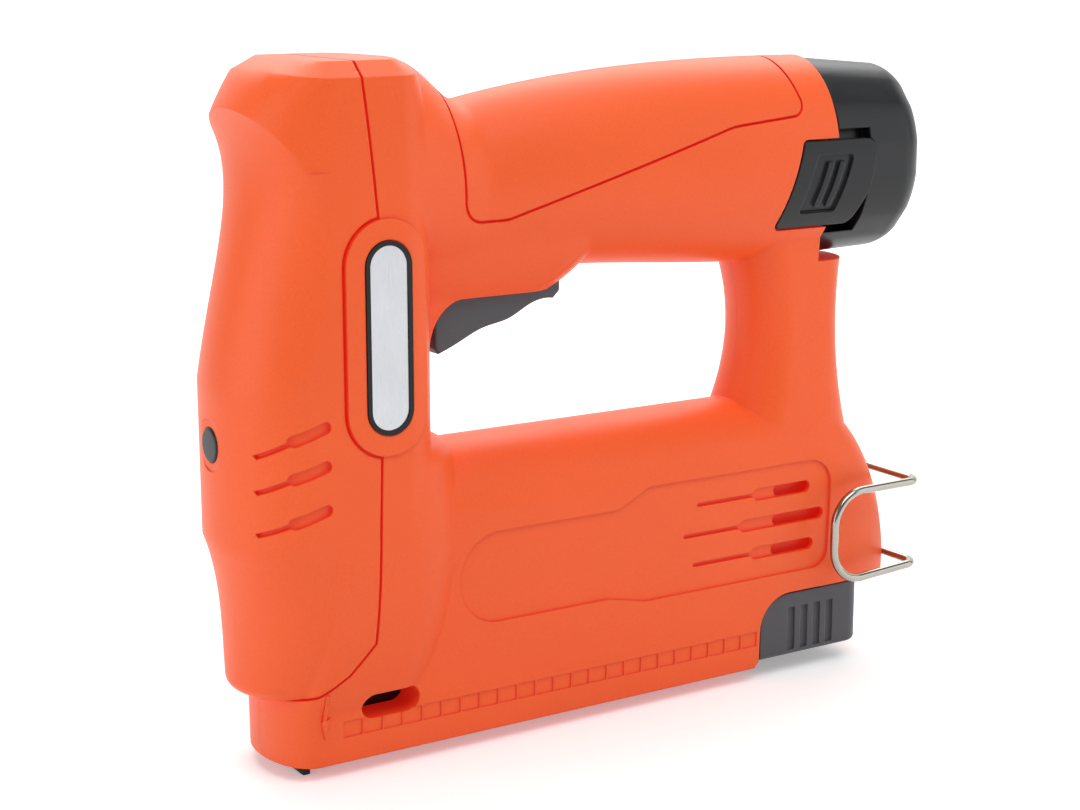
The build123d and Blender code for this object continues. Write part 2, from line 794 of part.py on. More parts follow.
switch_bottom = 150.5
plunger_x = 60.0
plunger_radius = 2.4
plunger_bottom = 143.25
with BuildPart() as trigger_switch:
    add(block(46.5, 75.0, -8, 8, switch_bottom, 168))
    fillet(trigger_switch.edges().filter_by(Axis.Y), radius=1.0)
    add(rod_z(plunger_radius + running, plunger_x, 0, 140, 162), mode=Mode.SUBTRACT)
    add(block(66, 72, -5, -3, 167, 172))
    add(block(66, 72, 3, 5, 167, 172))
    add(block(50, 54, -1, 1, 167, 172))
save(trigger_switch.part, "trigger_switch")

with BuildPart() as switch_plunger:
    add(rod_z(plunger_radius, plunger_x, 0, plunger_bottom, 158.0))
    fillet(switch_plunger.faces().sort_by(Axis.Z)[0].edges(), radius=0.8)
save(switch_plunger.part, "switch_plunger")

trigger_spring = spring_z(2.6, 0.6, 5, 51.0, 0, 143.0, switch_bottom - 0.1)
save(trigger_spring, "trigger_spring")

# Battery: head behind the collar, stem inside the handle
battery_front = 140.0
battery_rear = 220.0
head_front = collar_end + seam
collar_half_height = (collar_top - saddle_height) / 2
stem_half_width = 19.0
stem_half_height = 26.4
cell_radius = 9.1
cell_front = 146.0
cell_length = 65.0
# Cell axes from the centre of the handle, as Y and Z
cell_places = ((4.6, 15.9), (-5.0, 0.0), (4.6, -15.9))
terminal_places = (-8.0, 0.0, 8.0)


def collar_oval(inset, x0, x1):
    """The collar's oval, drawn in by inset, between two stations."""
    with BuildPart() as piece:
        with BuildSketch(Plane.YZ.offset(x0)):
            with Locations((0, collar_center)):
                Ellipse(collar_half_width - inset, collar_half_height - inset)
        extrude(amount=x1 - x0)
    return piece.part


# Head sections: station, size against the collar, drop of the centre
head_sections = ((head_front, 0.98, 0.0), (battery_rear, 0.91, 1.2))
head_round = 12.0
with BuildPart() as battery_head:
    for station, size, drop in head_sections:
        center = collar_center - drop
        corner_y = 9.6 * size
        corner_z = 31.9 * size
        side_y = 24.2 * size
        side_z = 13.6 * size
        with BuildSketch(Plane.YZ.offset(station)):
            with Locations((0, center)):
                Ellipse(collar_half_width * size, collar_half_height * size)
            with BuildLine(mode=Mode.PRIVATE) as facets:
                FilletPolyline(
                    (corner_y, center + corner_z),
                    (side_y, center + side_z),
                    (side_y, center - side_z),
                    (corner_y, center - corner_z),
                    (-corner_y, center - corner_z),
                    (-side_y, center - side_z),
                    (-side_y, center + side_z),
                    (-corner_y, center + corner_z),
                    radius=7 * size,
                    close=True,
                )
            add(make_face(facets.line, mode=Mode.PRIVATE), mode=Mode.INTERSECT)
    loft()
    fillet(battery_head.faces().sort_by(Axis.X)[-1].edges(), radius=head_round)

latch_thickness = 2.3
latch_travel = 2.0
with BuildPart() as latch_pocket:
    add(side_plate(latch_outline, -40, 40, latch_rounds, grow=latch_gap))
    add(block(head_front - 5, 193.3, -40, 40, 144.0, 177.2))
    add(collar_oval(latch_thickness + latch_travel + 2 * running, 150, 220), mode=Mode.SUBTRACT)

with BuildPart() as battery_case:
    add(battery_head.part)
    add(latch_pocket.part, mode=Mode.SUBTRACT)
    with BuildSketch(Plane.YZ.offset(battery_front)):
        with Locations((0, collar_center)):
            Ellipse(stem_half_width, stem_half_height)
    extrude(amount=head_front + 3 - battery_front)
    for y, z in cell_places:
        bore_front = cell_front - 0.3
        bore_rear = cell_front + cell_length + 0.3
        bore = rod_x(cell_radius + seat, bore_front, bore_rear, y, collar_center + z)
        add(bore, mode=Mode.SUBTRACT)
    for y in terminal_places:
        add(block(battery_front - 1, cell_front - 1, y - 1.1, y + 1.1, 162, 172), mode=Mode.SUBTRACT)
save(battery_case.part, "battery_case")

with BuildPart() as battery_cells:
    for y, z in cell_places:
        add(rod_x(cell_radius, cell_front, cell_front + cell_length, y, collar_center + z))
save(battery_cells.part, "battery_cells")

with BuildPart() as battery_terminals:
    for y in terminal_places:
        add(block(battery_front + 0.5, cell_front - 1.1, y - 1.0, y - 0.65, 162.2, 171.8))
        add(block(battery_front + 0.5, cell_front - 1.1, y + 0.65, y + 1.0, 162.2, 171.8))
        add(block(cell_front - 1.5, cell_front - 1.1, y - 1.0, y + 1.0, 162.2, 171.8))
save(battery_terminals.part, "battery_terminals")

# Latch: two slanted ribs on a thinner plate with a raised border
latch_floor = 1.1
with BuildPart() as latch_ring:
    add(collar_oval(0.15, 150, 200))
    inner_field = ((171.0, 169.5), (185.5, 169.5), (180.3, 151.5), (165.8, 151.5))
    add(side_plate(inner_field, -40, 40, 1.2), mode=Mode.SUBTRACT)
    for x in (173.4, 178.0):
        slanted_rib = ((x + 1.9, 167.5), (x + 4.1, 167.5), (x + 0.1, 153.5), (x - 2.1, 153.5))
        add(side_plate(slanted_rib, -40, 40, 0.6))
    add(collar_oval(0.15, 150, 200), mode=Mode.INTERSECT)
    add(collar_oval(latch_floor, 150, 200))
    add(collar_oval(latch_thickness, 140, 220), mode=Mode.SUBTRACT)
    add(side_plate(latch_outline, -40, 40, latch_rounds), mode=Mode.INTERSECT)
left_latch = latch_ring.part.solids().sort_by(Axis.Y)[0]
right_latch = latch_ring.part.solids().sort_by(Axis.Y)[-1]
save(left_latch, "left_latch")
save(right_latch, "right_latch")

with BuildPart() as terminal_block:
    x0, x1, y0, y1, z0, z1 = terminal_block_box
    add(block(x0, x1, y0, y1, z0, z1))
    fillet(terminal_block.edges().filter_by(Axis.X), radius=1.5)
    for y in terminal_places:
        add(block(x0 - 1, x1 + 1, y - 0.35, y + 0.35, 162.9, 171.1), mode=Mode.SUBTRACT)
save(terminal_block.part, "terminal_block")

with BuildPart() as terminal_blades:
    for y in terminal_places:
        add(block(x0 - 5, 143.8, y - 0.3, y + 0.3, 163, 171))
save(terminal_blades.part, "terminal_blades")

# Controller board in the rear of the lower body
with BuildPart() as controller_board:
    add(block(162, 187, board_back, -8.0, 38, 76))
    for x, z in ((166, 44), (173, 44), (180, 44)):
        add(block(x, x + 5, -8.0, -3.4, z, z + 9))
    add(rod_y(4.0, 169, -8.2, 3.0, 66))
    add(rod_y(4.0, 180, -8.2, 3.0, 66))
    add(block(165, 184, -8.0, -6.2, 56, 60.5))
save(controller_board.part, "controller_board")

# Motor
with BuildPart() as motor_can:
    add(rod_x(motor_radius, motor_front, motor_rear, 0, motor_height))
    fillet(motor_can.faces().sort_by(Axis.X)[0].edges(), radius=1.5)
    add(rod_x(motor_radius - 1.4, motor_front + 1.6, motor_rear + 1, 0, motor_height), mode=Mode.SUBTRACT)
    add(rod_x(6.5, motor_front - 2.4, motor_front + 2, 0, motor_height))
    add(rod_x(shaft_radius / 2, 80, 120, 0, motor_height), mode=Mode.SUBTRACT)
save(motor_can.part, "motor_can")

with BuildPart() as motor_end_cap:
    add(rod_x(motor_radius, motor_rear + seat, motor_rear + 4, 0, motor_height))
    fillet(motor_end_cap.faces().sort_by(Axis.X)[-1].edges(), radius=1.0)
    add(rod_x(5.0, motor_rear + 2, motor_rear + 6, 0, motor_height))
    add(rod_x(shaft_radius / 2, 150, 165, 0, motor_height), mode=Mode.SUBTRACT)
    add(block(motor_rear + 3, motor_rear + 8, -13, -12, 56, 60))
    add(block(motor_rear + 3, motor_rear + 8, 12, 13, 56, 60))
save(motor_end_cap.part, "motor_end_cap")

motor_shaft_radius = shaft_radius / 2 - shaft_play
with BuildPart() as motor_rotor:
    add(rod_x(13.2, 112, 142, 0, motor_height))
    for number in range(5):
        angle = radians(72 * number)
        slot_y = 11 * cos(angle)
        slot_z = motor_height + 11 * sin(angle)
        add(rod_x(1.9, 111, 143, slot_y, slot_z), mode=Mode.SUBTRACT)
        slot_y = 13.2 * cos(angle)
        slot_z = motor_height + 13.2 * sin(angle)
        add(rod_x(0.9, 111, 143, slot_y, slot_z), mode=Mode.SUBTRACT)
    add(rod_x(4.6, 145, 152, 0, motor_height))
    add(rod_x(motor_shaft_radius, 89.8, 159, 0, motor_height))
save(motor_rotor.part, "motor_rotor")

# Planetary stage
planet_module = 0.7
sun_teeth = 12
planet_teeth = 15
ring_teeth = sun_teeth + 2 * planet_teeth
planet_orbit = planet_module * (sun_teeth + planet_teeth) / 2
planet_pin_radius = 1.25
gear_thinning = 0.13
with BuildPart() as sun_pinion:
    points = gear_outline(sun_teeth, planet_module, 0, 0.8, 1.2, gear_thinning)
    add(gear_x(points, 89.6, motor_front - 2.9))
    add(rod_x(motor_shaft_radius + 0.02, 80, 110, 0, motor_height), mode=Mode.SUBTRACT)
save(sun_pinion.part, "sun_pinion")

planet_angles = (90.0, 210.0, 330.0)
planet_phases = []
for angle in planet_angles:
    meshing = 0.5 + angle * sun_teeth / 360
    planet_phases.append(angle + 180 + meshing * 360 / planet_teeth)
for number, angle in enumerate(planet_angles):
    with BuildPart() as planet_gear:
        points = gear_outline(planet_teeth, planet_module, planet_phases[number], 0.8, 1.2, gear_thinning)
        planet_y = planet_orbit * cos(radians(angle))
        planet_z = motor_height + planet_orbit * sin(radians(angle))
        add(gear_x(points, 90.2, 98.0, planet_y, planet_z))
        add(rod_x(planet_pin_radius + shaft_play, 80, 110, planet_y, planet_z), mode=Mode.SUBTRACT)
    save(planet_gear.part, "planet_gear_" + str(number + 1))

carrier_front = 86.7
with BuildPart() as planet_carrier:
    add(rod_x(13.2, carrier_front, 89.2, 0, motor_height))
    add(rod_x(shaft_radius + 0.02, 80, 100, 0, motor_height), mode=Mode.SUBTRACT)
    for angle in planet_angles:
        planet_y = planet_orbit * cos(radians(angle))
        planet_z = motor_height + planet_orbit * sin(radians(angle))
        add(rod_x(planet_pin_radius + 0.02, 80, 100, planet_y, planet_z), mode=Mode.SUBTRACT)
save(planet_carrier.part, "planet_carrier")

with BuildPart() as planet_pins:
    for angle in planet_angles:
        planet_y = planet_orbit * cos(radians(angle))
        planet_z = motor_height + planet_orbit * sin(radians(angle))
        add(rod_x(planet_pin_radius, carrier_front, 98.6, planet_y, planet_z))
        add(rod_x(2.2, 98.4, 99.0, planet_y, planet_z))
save(planet_pins.part, "planet_pins")

ring_phase = planet_angles[0] + (planet_phases[0] - planet_angles[0]) * planet_teeth / ring_teeth
with BuildPart() as ring_gear_case:
    add(rod_x(gear_case_radius, 84, 101.3, 0, motor_height))
    points = gear_outline(ring_teeth, planet_module, ring_phase, 1.25, 0.75, -gear_thinning)
    add(gear_x(points, 86.2, 110), mode=Mode.SUBTRACT)
    add(rod_x(7.0, 79, 85, 0, motor_height))
    add(rod_x(shaft_radius + shaft_play, 70, 90, 0, motor_height), mode=Mode.SUBTRACT)
save(ring_gear_case.part, "ring_gear_case")

# Bevel pair: its apex lies where the drive shaft's axis meets the lifter shaft's
bevel_module = 1.1
pinion_teeth = 12
bevel_teeth = 36
bevel_face = 5.0
bevel_thinning = 0.38
pinion_pitch = bevel_module * pinion_teeth / 2
bevel_pitch = bevel_module * bevel_teeth / 2
cone_length = (pinion_pitch**2 + bevel_pitch**2) ** 0.5
cone_cos = bevel_pitch / cone_length
cone_sin = pinion_pitch / cone_length
small_scale = 1 - bevel_face / cone_length
pinion_rear = lifter_x + bevel_pitch
pinion_front = lifter_x + bevel_pitch * small_scale
with BuildPart() as bevel_pinion:
    pinion_phase = 180 / pinion_teeth
    points = gear_outline(pinion_teeth, bevel_module, pinion_phase, 0.86, 1.2, bevel_thinning)
    with BuildSketch(Plane.YZ.offset(pinion_rear)):
        with BuildLine():
            Polyline(*[(a, motor_height + b) for a, b in points], close=True)
        make_face()
    with BuildSketch(Plane.YZ.offset(pinion_front)):
        with BuildLine():
            Polyline(*[(a * small_scale, motor_height + b * small_scale) for a, b in points], close=True)
        make_face()
    loft(ruled=True)
    add(rod_x(5.0, pinion_rear, 47.6, 0, motor_height))
    add(rod_x(shaft_radius, pinion_rear, 89.2, 0, motor_height))
save(bevel_pinion.part, "bevel_pinion")

tip_height = 0.9
root_height = 1.25
tooth_slope = tan(radians(20))
half_pitch_tooth = (pi * bevel_module / 2 - bevel_thinning) / 2


def bevel_point(scale, side, depth):
    """A corner of the tooth that points to the pinion; depth runs into the gear from its pitch cone."""
    x = lifter_x + scale * (bevel_pitch - depth * cone_sin)
    y = scale * (pinion_pitch + depth * cone_cos)
    z = motor_height + scale * side
    return (x, y, z)


with BuildPart() as bevel_tooth:
    for scale in (1.0, small_scale):
        tip = half_pitch_tooth - tip_height * tooth_slope
        foot = half_pitch_tooth + (root_height + 0.4) * tooth_slope
        corners = [
            bevel_point(scale, -tip, -tip_height),
            bevel_point(scale, tip, -tip_height),
            bevel_point(scale, foot, root_height + 0.4),
            bevel_point(scale, -foot, root_height + 0.4),
        ]
        tooth_plane = Plane(corners[0], x_dir=(0, 0, 1), z_dir=(cone_cos, cone_sin, 0))
        flat = [tooth_plane.to_local_coords(Vector(*corner)) for corner in corners]
        with BuildSketch(tooth_plane):
            with BuildLine():
                Polyline(*flat, close=True)
            make_face()
    loft(ruled=True)

gear_back = 11.7
land = 0.03
root_point = (bevel_pitch - root_height * cone_sin, pinion_pitch + root_height * cone_cos)
root_big = (root_point[0] * (1 + land), root_point[1] * (1 + land))
root_small = (root_point[0] * (small_scale - land), root_point[1] * (small_scale - land))
with BuildPart() as bevel_gear:
    with BuildSketch(Plane.XY.offset(motor_height)):
        with BuildLine():
            Polyline(
                (lifter_x + shaft_radius + 0.02, 4.3),
                (lifter_x + 8.0, 4.3),
                (lifter_x + 8.5, root_small[1]),
                (lifter_x + root_small[0], root_small[1]),
                (lifter_x + root_big[0], root_big[1]),
                (lifter_x + root_big[0], 10.2),
                (lifter_x + 18.0, gear_back),
                (lifter_x + shaft_radius + 0.02, gear_back),
                close=True,
            )
        make_face()
    revolve(axis=Axis((lifter_x, 0, motor_height), (0, 1, 0)))
    lifter_axis = Axis((lifter_x, 0, motor_height), (0, 1, 0))
    tooth_pitch = 360 / bevel_teeth
    add([bevel_tooth.part.rotate(lifter_axis, tooth_pitch * number) for number in range(bevel_teeth)])
save(bevel_gear.part, "bevel_gear")

# Lifter: a toothed sector on the bevel gear's shaft, meshing with the hammer's rack
lifter_module = 1.5
lifter_teeth = 16
lifter_sector = 6
lifter_pitch = lifter_module * lifter_teeth / 2
lifter_root = lifter_pitch - 1.2 * lifter_module
with BuildPart() as lifter_wheel:
    tooth_points = gear_outline(lifter_teeth, lifter_module, 180, 0.9, 1.3, 0.3, kept=lifter_sector)
    with BuildSketch(Plane.XZ.offset(4)):
        with Locations((lifter_x, motor_height)):
            Circle(lifter_root)
        per_tooth = len(tooth_points) // lifter_sector
        for number in range(lifter_sector):
            corners = tooth_points[number * per_tooth : (number + 1) * per_tooth]
            with BuildLine():
                Polyline(*[(lifter_x + a, motor_height + b) for a, b in corners], close=True)
            make_face()
    extrude(amount=-8)
    add(rod_y(shaft_radius + 0.02, lifter_x, -20, 20, motor_height), mode=Mode.SUBTRACT)
save(lifter_wheel.part, "lifter_wheel")

with BuildPart() as lifter_shaft:
    add(rod_y(shaft_radius, lifter_x, -15.2, 15.2, motor_height))
    chamfer(lifter_shaft.edges(), length=0.4)
save(lifter_shaft.part, "lifter_shaft")

bush_radius = 5.4
frame_inside = frame_half_width - frame_sheet
with BuildPart() as shaft_bushes:
    for side in (-1, 1):
        bush_middle = side * frame_half_width
        add(rod_y(bush_radius, lifter_x, bush_middle - 1.4, bush_middle + 0.6, motor_height))
    add(rod_y(shaft_radius + shaft_play, lifter_x, -20, 20, motor_height), mode=Mode.SUBTRACT)
    add(rod_x(bush_radius, 48.4, 54.0, 0, motor_height))
    add(rod_x(shaft_radius + shaft_play, 40, 60, 0, motor_height), mode=Mode.SUBTRACT)
save(shaft_bushes.part, "shaft_bushes")

# Frame: a folded steel bracket with a tower for the main spring
frame_front = -10.5
frame_bottom = 33.0
frame_top = 81.2
frame_rear = 52.0
tower_top = 140.0
tower_half = frame_half_width
spring_x = -0.8
with BuildPart() as drive_frame:
    inner_front = frame_front + frame_sheet
    add(block(frame_front, inner_front, -frame_half_width, frame_half_width, frame_bottom, frame_top))
    add(block(frame_front, inner_front, -tower_half, tower_half, frame_top - 1, tower_top))
    add(block(frame_front, frame_rear, frame_inside, frame_half_width, frame_bottom, frame_top))
    add(block(frame_front, frame_rear, -frame_half_width, -frame_inside, frame_bottom, frame_top))
    add(block(frame_rear - frame_sheet, frame_rear, -frame_half_width, frame_half_width, 40, frame_top))
    shelf_top = frame_bottom + frame_sheet
    add(block(frame_front, 2.0, -frame_half_width, frame_half_width, frame_bottom, shelf_top))
    add(block(frame_front, 10.5, -tower_half, tower_half, tower_top - frame_sheet, tower_top))
    add(block(frame_front, -4.5, tower_half - 1.4, tower_half, frame_top, tower_top))
    add(block(frame_front, -4.5, -tower_half, 1.4 - tower_half, frame_top, tower_top))
    add(rod_x(4.0, -14.7, frame_front + 1, 0, plug_z))
    add(rod_x(1.55, -20, -5, 0, plug_z), mode=Mode.SUBTRACT)
    add(rod_y(bush_radius + shaft_play, lifter_x, -30, 30, motor_height), mode=Mode.SUBTRACT)
    add(rod_x(bush_radius + shaft_play, 49, 60, 0, motor_height), mode=Mode.SUBTRACT)
    add(block(-1.3, 1.3, -6.4, 6.4, frame_bottom - 1, frame_bottom + 3), mode=Mode.SUBTRACT)
save(drive_frame.part, "drive_frame")

# Hammer with its rack, driver blade, main spring and bumper
hammer_bottom = 39.5
hammer_top = 68.0
hammer_half = frame_inside - running
rack_pitch = pi * lifter_module
rack_line = lifter_x - lifter_pitch
rack_half = 3.6
rack_tip = rack_line + 0.75 * lifter_module
rack_root = rack_line - 1.25 * lifter_module
rack_foot = 32.4
with BuildPart() as hammer:
    add(block(-7.5, 2.6, -hammer_half, hammer_half, hammer_bottom, hammer_top))
    fillet(hammer.edges().filter_by(Axis.Z), radius=1.0)
    add(block(2.4, rack_tip, -rack_half, rack_half, rack_foot, hammer_top))
    for number in range(-1, 7):
        center = motor_height - rack_pitch * number
        at_tip = rack_pitch / 4 + 0.15 + (rack_tip - rack_line) * tooth_slope
        at_root = rack_pitch / 4 + 0.15 - (rack_line - rack_root) * tooth_slope
        space = (
            (rack_root, center - at_root),
            (rack_tip + 1, center - at_tip - tooth_slope),
            (rack_tip + 1, center + at_tip + tooth_slope),
            (rack_root, center + at_root),
        )
        add(side_plate(space, -10, 10), mode=Mode.SUBTRACT)
    add(block(-0.45, 0.45, -5.6, 5.6, 30, 46), mode=Mode.SUBTRACT)
save(hammer.part, "hammer")

blade_tip = 0.6
with BuildPart() as driver_blade:
    add(block(-0.4, 0.4, -5.5, 5.5, blade_tip, 45.8))
save(driver_blade.part, "driver_blade")

main_spring = spring_z(6.3, 2.2, 9, spring_x, 0, hammer_top + 0.1, tower_top - frame_sheet - 0.1)
save(main_spring, "main_spring")

with BuildPart() as bumper:
    bumper_base = frame_bottom + frame_sheet
    add(block(-7.5, 1.9, -11, 11, bumper_base + 0.05, hammer_bottom - running))
    fillet(bumper.edges().filter_by(Axis.Z), radius=1.2)
    add(block(-1.3, 1.3, -6.4, 6.4, 30, 42), mode=Mode.SUBTRACT)
save(bumper.part, "bumper")

# Nose and magazine
with BuildPart() as nose_plate:
    add(block(-4.0, -0.8, -11, 11, 0, 27))
    chamfer(nose_plate.edges().filter_by(Axis.Z).sort_by(Axis.X)[:2], length=1.2)
    chamfer(nose_plate.faces().sort_by(Axis.Z)[0].edges().sort_by(Axis.X)[0], length=1.0)
save(nose_plate.part, "nose_plate")

channel_front = 0.9
channel_rear = 156.0
channel_half = 7.2
channel_sheet = 1.2
channel_bottom = 5.5
channel_top = 22.4
with BuildPart() as magazine_channel:
    inner_half = channel_half - channel_sheet
    add(block(channel_front, channel_rear, -channel_half, channel_half, channel_bottom, channel_top))
    add(block(0, 160, -inner_half, inner_half, 0, channel_top - channel_sheet), mode=Mode.SUBTRACT)
save(magazine_channel.part, "magazine_channel")

rail_half = 4.5
rail_sheet = 0.8
rail_top = 19.8
with BuildPart() as magazine_rail:
    rail_inner = rail_half - rail_sheet
    add(block(1.2, 160.5, -rail_half, rail_half, 7, rail_top))
    add(block(0, 161, -rail_inner, rail_inner, 0, rail_top - rail_sheet), mode=Mode.SUBTRACT)
    add(block(58, 153, -1.3, 1.3, 10, 25), mode=Mode.SUBTRACT)
save(magazine_rail.part, "magazine_rail")

tail_rear = 200.0
tail_half = 18.4
tail_bottom = 6.3
with BuildPart() as magazine_tail:
    add(tail_zone())
    add(block(0, tail_rear, -tail_half, tail_half, tail_bottom, 60), mode=Mode.INTERSECT)
    fillet(magazine_tail.edges().filter_by(Axis.Z).sort_by(Axis.X)[-2:], radius=6)
    fillet(magazine_tail.faces().sort_by(Axis.Z)[0].edges().filter_by(Axis.X), radius=1.5)
    for x in (170.0, 175.3, 180.6, 185.9):
        add(block(x - 1.5, x + 1.5, -tail_half - 2, 0.9 - tail_half, 8, 22.5), mode=Mode.SUBTRACT)
        add(block(x - 1.5, x + 1.5, tail_half - 0.9, tail_half + 2, 8, 22.5), mode=Mode.SUBTRACT)
    add(block(150, 161, -rail_half - 0.05, rail_half + 0.05, 0, rail_top + 0.05), mode=Mode.SUBTRACT)
save(magazine_tail.part, "magazine_tail")

staple_half = 5.6
with BuildPart() as staple_strip:
    add(block(1.1, 61.0, -staple_half, staple_half, 10.9, 20.9))
    add(block(0, 70, -rail_half - 0.5, rail_half + 0.5, 5, rail_top + 0.2), mode=Mode.SUBTRACT)
save(staple_strip.part, "staple_strip")

with BuildPart() as pusher:
    add(block(61.4, 75, -staple_half, staple_half, 10.9, 20.9))
    saddle_half = rail_half + running
    add(block(60, 80, -saddle_half, saddle_half, 5, rail_top + running), mode=Mode.SUBTRACT)
    add(block(63, 75, -0.9, 0.9, 17, 20.9))
    add(block(63, 79, -3.3, 3.3, 10, rail_top - rail_sheet - running))
    add(rod_y(2.9, 74.5, -2.5, 2.5, 13.6), mode=Mode.SUBTRACT)
save(pusher.part, "pusher")

with BuildPart() as pusher_spring:
    add(rod_y(2.7, 74.5, -2.4, 2.4, 13.6))
    add(rod_y(1.2, 74.5, -5, 5, 13.6), mode=Mode.SUBTRACT)
save(pusher_spring.part, "pusher_spring")
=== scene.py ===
"""Looks of a cordless stapler: finishes for its solids, small pieces on them, and a pale studio."""

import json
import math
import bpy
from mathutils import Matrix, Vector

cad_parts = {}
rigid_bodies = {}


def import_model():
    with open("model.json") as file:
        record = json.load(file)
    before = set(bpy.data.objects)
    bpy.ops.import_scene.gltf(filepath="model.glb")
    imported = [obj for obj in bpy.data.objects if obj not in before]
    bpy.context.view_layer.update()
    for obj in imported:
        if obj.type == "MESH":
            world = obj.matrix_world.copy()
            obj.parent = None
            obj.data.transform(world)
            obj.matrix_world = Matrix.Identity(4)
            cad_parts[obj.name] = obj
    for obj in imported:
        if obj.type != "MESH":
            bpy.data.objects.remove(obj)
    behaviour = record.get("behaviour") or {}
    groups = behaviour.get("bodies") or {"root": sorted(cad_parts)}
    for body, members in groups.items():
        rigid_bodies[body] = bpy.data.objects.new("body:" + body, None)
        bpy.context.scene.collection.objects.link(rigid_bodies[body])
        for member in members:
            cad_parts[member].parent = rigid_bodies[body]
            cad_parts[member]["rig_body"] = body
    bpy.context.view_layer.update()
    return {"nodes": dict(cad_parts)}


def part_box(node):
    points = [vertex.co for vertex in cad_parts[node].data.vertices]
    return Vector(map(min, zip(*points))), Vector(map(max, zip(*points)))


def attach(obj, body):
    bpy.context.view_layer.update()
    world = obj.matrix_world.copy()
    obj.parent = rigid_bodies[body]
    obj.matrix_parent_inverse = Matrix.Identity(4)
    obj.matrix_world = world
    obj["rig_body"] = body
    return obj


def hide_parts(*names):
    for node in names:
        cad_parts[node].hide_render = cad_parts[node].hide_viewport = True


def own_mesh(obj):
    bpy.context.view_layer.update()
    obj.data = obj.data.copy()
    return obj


bl_info = {
    "name": "Cordless stapler",
    "version": (1, 0, 0),
    "blender": (4, 5, 0),
    "location": "3D View > Sidebar > Stapler",
    "description": "Dresses the solids of a cordless stapler and sets a pale studio round it",
    "category": "Object",
}

import bmesh
import bpy
from bpy.props import FloatProperty, FloatVectorProperty, IntProperty, PointerProperty, StringProperty
from mathutils import Matrix, Vector
from mathutils.bvhtree import BVHTree

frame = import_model()
solids = frame["nodes"]
MM = 0.001


# Sizes and colours


class StaplerColours(bpy.types.PropertyGroup):
    """Colours of the mouldings and finishes, as sRGB hex."""

    orange: StringProperty(name="Orange", description="Mouldings of the body", default="#F45F28")
    # Painted shade and a painted glow in the grooves of the orange
    groove_shade: StringProperty(name="Groove", description="Orange deep in the grooves", default="#D22415")
    charcoal: StringProperty(name="Charcoal", description="Trigger and magazine tail", default="#4A4B4F")
    black: StringProperty(name="Black", description="Battery case, latches and plug", default="#17181B")
    rim: StringProperty(name="Badge rim", description="Glossy rim of the badge", default="#0B0C0F")
    silver: StringProperty(name="Badge plate", description="Bare plate of the badge", default="#C2C4C8")
    nickel: StringProperty(name="Nickel", description="Plating of the belt hook", default="#AAA69E")
    floor: StringProperty(name="Floor", description="Paper sweep under the tool", default="#F2F2F2")


class StaplerSizes(bpy.types.PropertyGroup):
    """Sizes of what the finishes and the small pieces add to the solids."""

    grain: FloatProperty(
        name="Mould grain",
        description="Width of a grain of the spark-eroded mould texture",
        default=0.45 * MM,
        unit="LENGTH",
    )
    edge: FloatProperty(
        name="Edge radius",
        description="Radius that a moulded edge shows in the light",
        default=0.70 * MM,
        unit="LENGTH",
    )
    staples: IntProperty(name="Staples", description="Staples left in the strip", default=46, min=2)
    wire: FloatProperty(
        name="Staple wire",
        description="Thickness of a staple's wire along the strip",
        default=1.2 * MM,
        unit="LENGTH",
    )
    thread: FloatProperty(
        name="Thread pitch",
        description="Pitch of the thread-forming screws",
        default=1.1 * MM,
        unit="LENGTH",
    )


class StaplerStage(bpy.types.PropertyGroup):
    """Camera and lamps."""

    camera_place: FloatVectorProperty(
        name="Camera",
        description="Place of the camera's lens",
        default=(-0.24813, -0.52235, 0.23274),
        subtype="XYZ",
        unit="LENGTH",
    )
    azimuth: FloatProperty(
        name="Heading",
        description="Heading of the view, from the nose's X towards Y",
        default=math.radians(57.5),
        subtype="ANGLE",
    )
    elevation: FloatProperty(
        name="Tilt",
        description="Tilt of the view, below the horizon when negative",
        default=math.radians(-12.4),
        subtype="ANGLE",
    )
    lens: FloatProperty(
        name="Lens",
        description="Focal length on a 36 mm sensor",
        default=69.6,
        subtype="DISTANCE_CAMERA",
    )
    key: FloatProperty(
        name="Key light",
        description="Power of the large softbox",
        default=10.2,
        subtype="POWER",
    )
    side: FloatProperty(
        name="Side light",
        description="Power of the softbox before the nose",
        default=5.6,
        subtype="POWER",
    )
    fill: FloatProperty(
        name="Fill light",
        description="Power of the fill softbox",
        default=2.8,
        subtype="POWER",
    )
    top: FloatProperty(
        name="Top light",
        description="Power of the softbox overhead",
        default=14.0,
        subtype="POWER",
    )
    air: FloatProperty(
        name="Room light",
        description="Strength of the even light of the room",
        default=0.26,
    )


# Helpers


def linear(hex_colour):
    """An sRGB hex colour as linear RGBA."""
    channels = [int(hex_colour[i : i + 2], 16) / 255 for i in (1, 3, 5)]
    return tuple(c / 12.92 if c <= 0.04045 else ((c + 0.055) / 1.055) ** 2.4 for c in channels) + (1.0,)


def shade(hex_colour, factor):
    """A linear colour, lighter or darker by a factor."""
    return tuple(min(1.0, c * factor) for c in linear(hex_colour)[:3]) + (1.0,)


def add_node(tree, kind, settings=None, inputs=None):
    """Adds a node, sets its properties, and fills inputs with values or with other nodes' outputs."""
    node = tree.nodes.new(kind)
    for key, value in (settings or {}).items():
        setattr(node, key, value)
    for key, value in (inputs or {}).items():
        if isinstance(value, bpy.types.NodeSocket):
            tree.links.new(value, node.inputs[key])
        else:
            node.inputs[key].default_value = value
    return node


def new_material(name):
    """A node material: returns it, its tree, its Principled surface and the Object coordinates."""
    made = bpy.data.materials.new(name)
    made.use_nodes = True
    tree = made.node_tree
    tree.nodes.clear()
    surface = add_node(tree, "ShaderNodeBsdfPrincipled")
    add_node(tree, "ShaderNodeOutputMaterial", None, {"Surface": surface.outputs["BSDF"]})
    place = add_node(tree, "ShaderNodeTexCoord").outputs["Object"]
    return made, tree, surface, place


def colours():
    """The colour settings."""
    return bpy.context.scene.stapler_colours


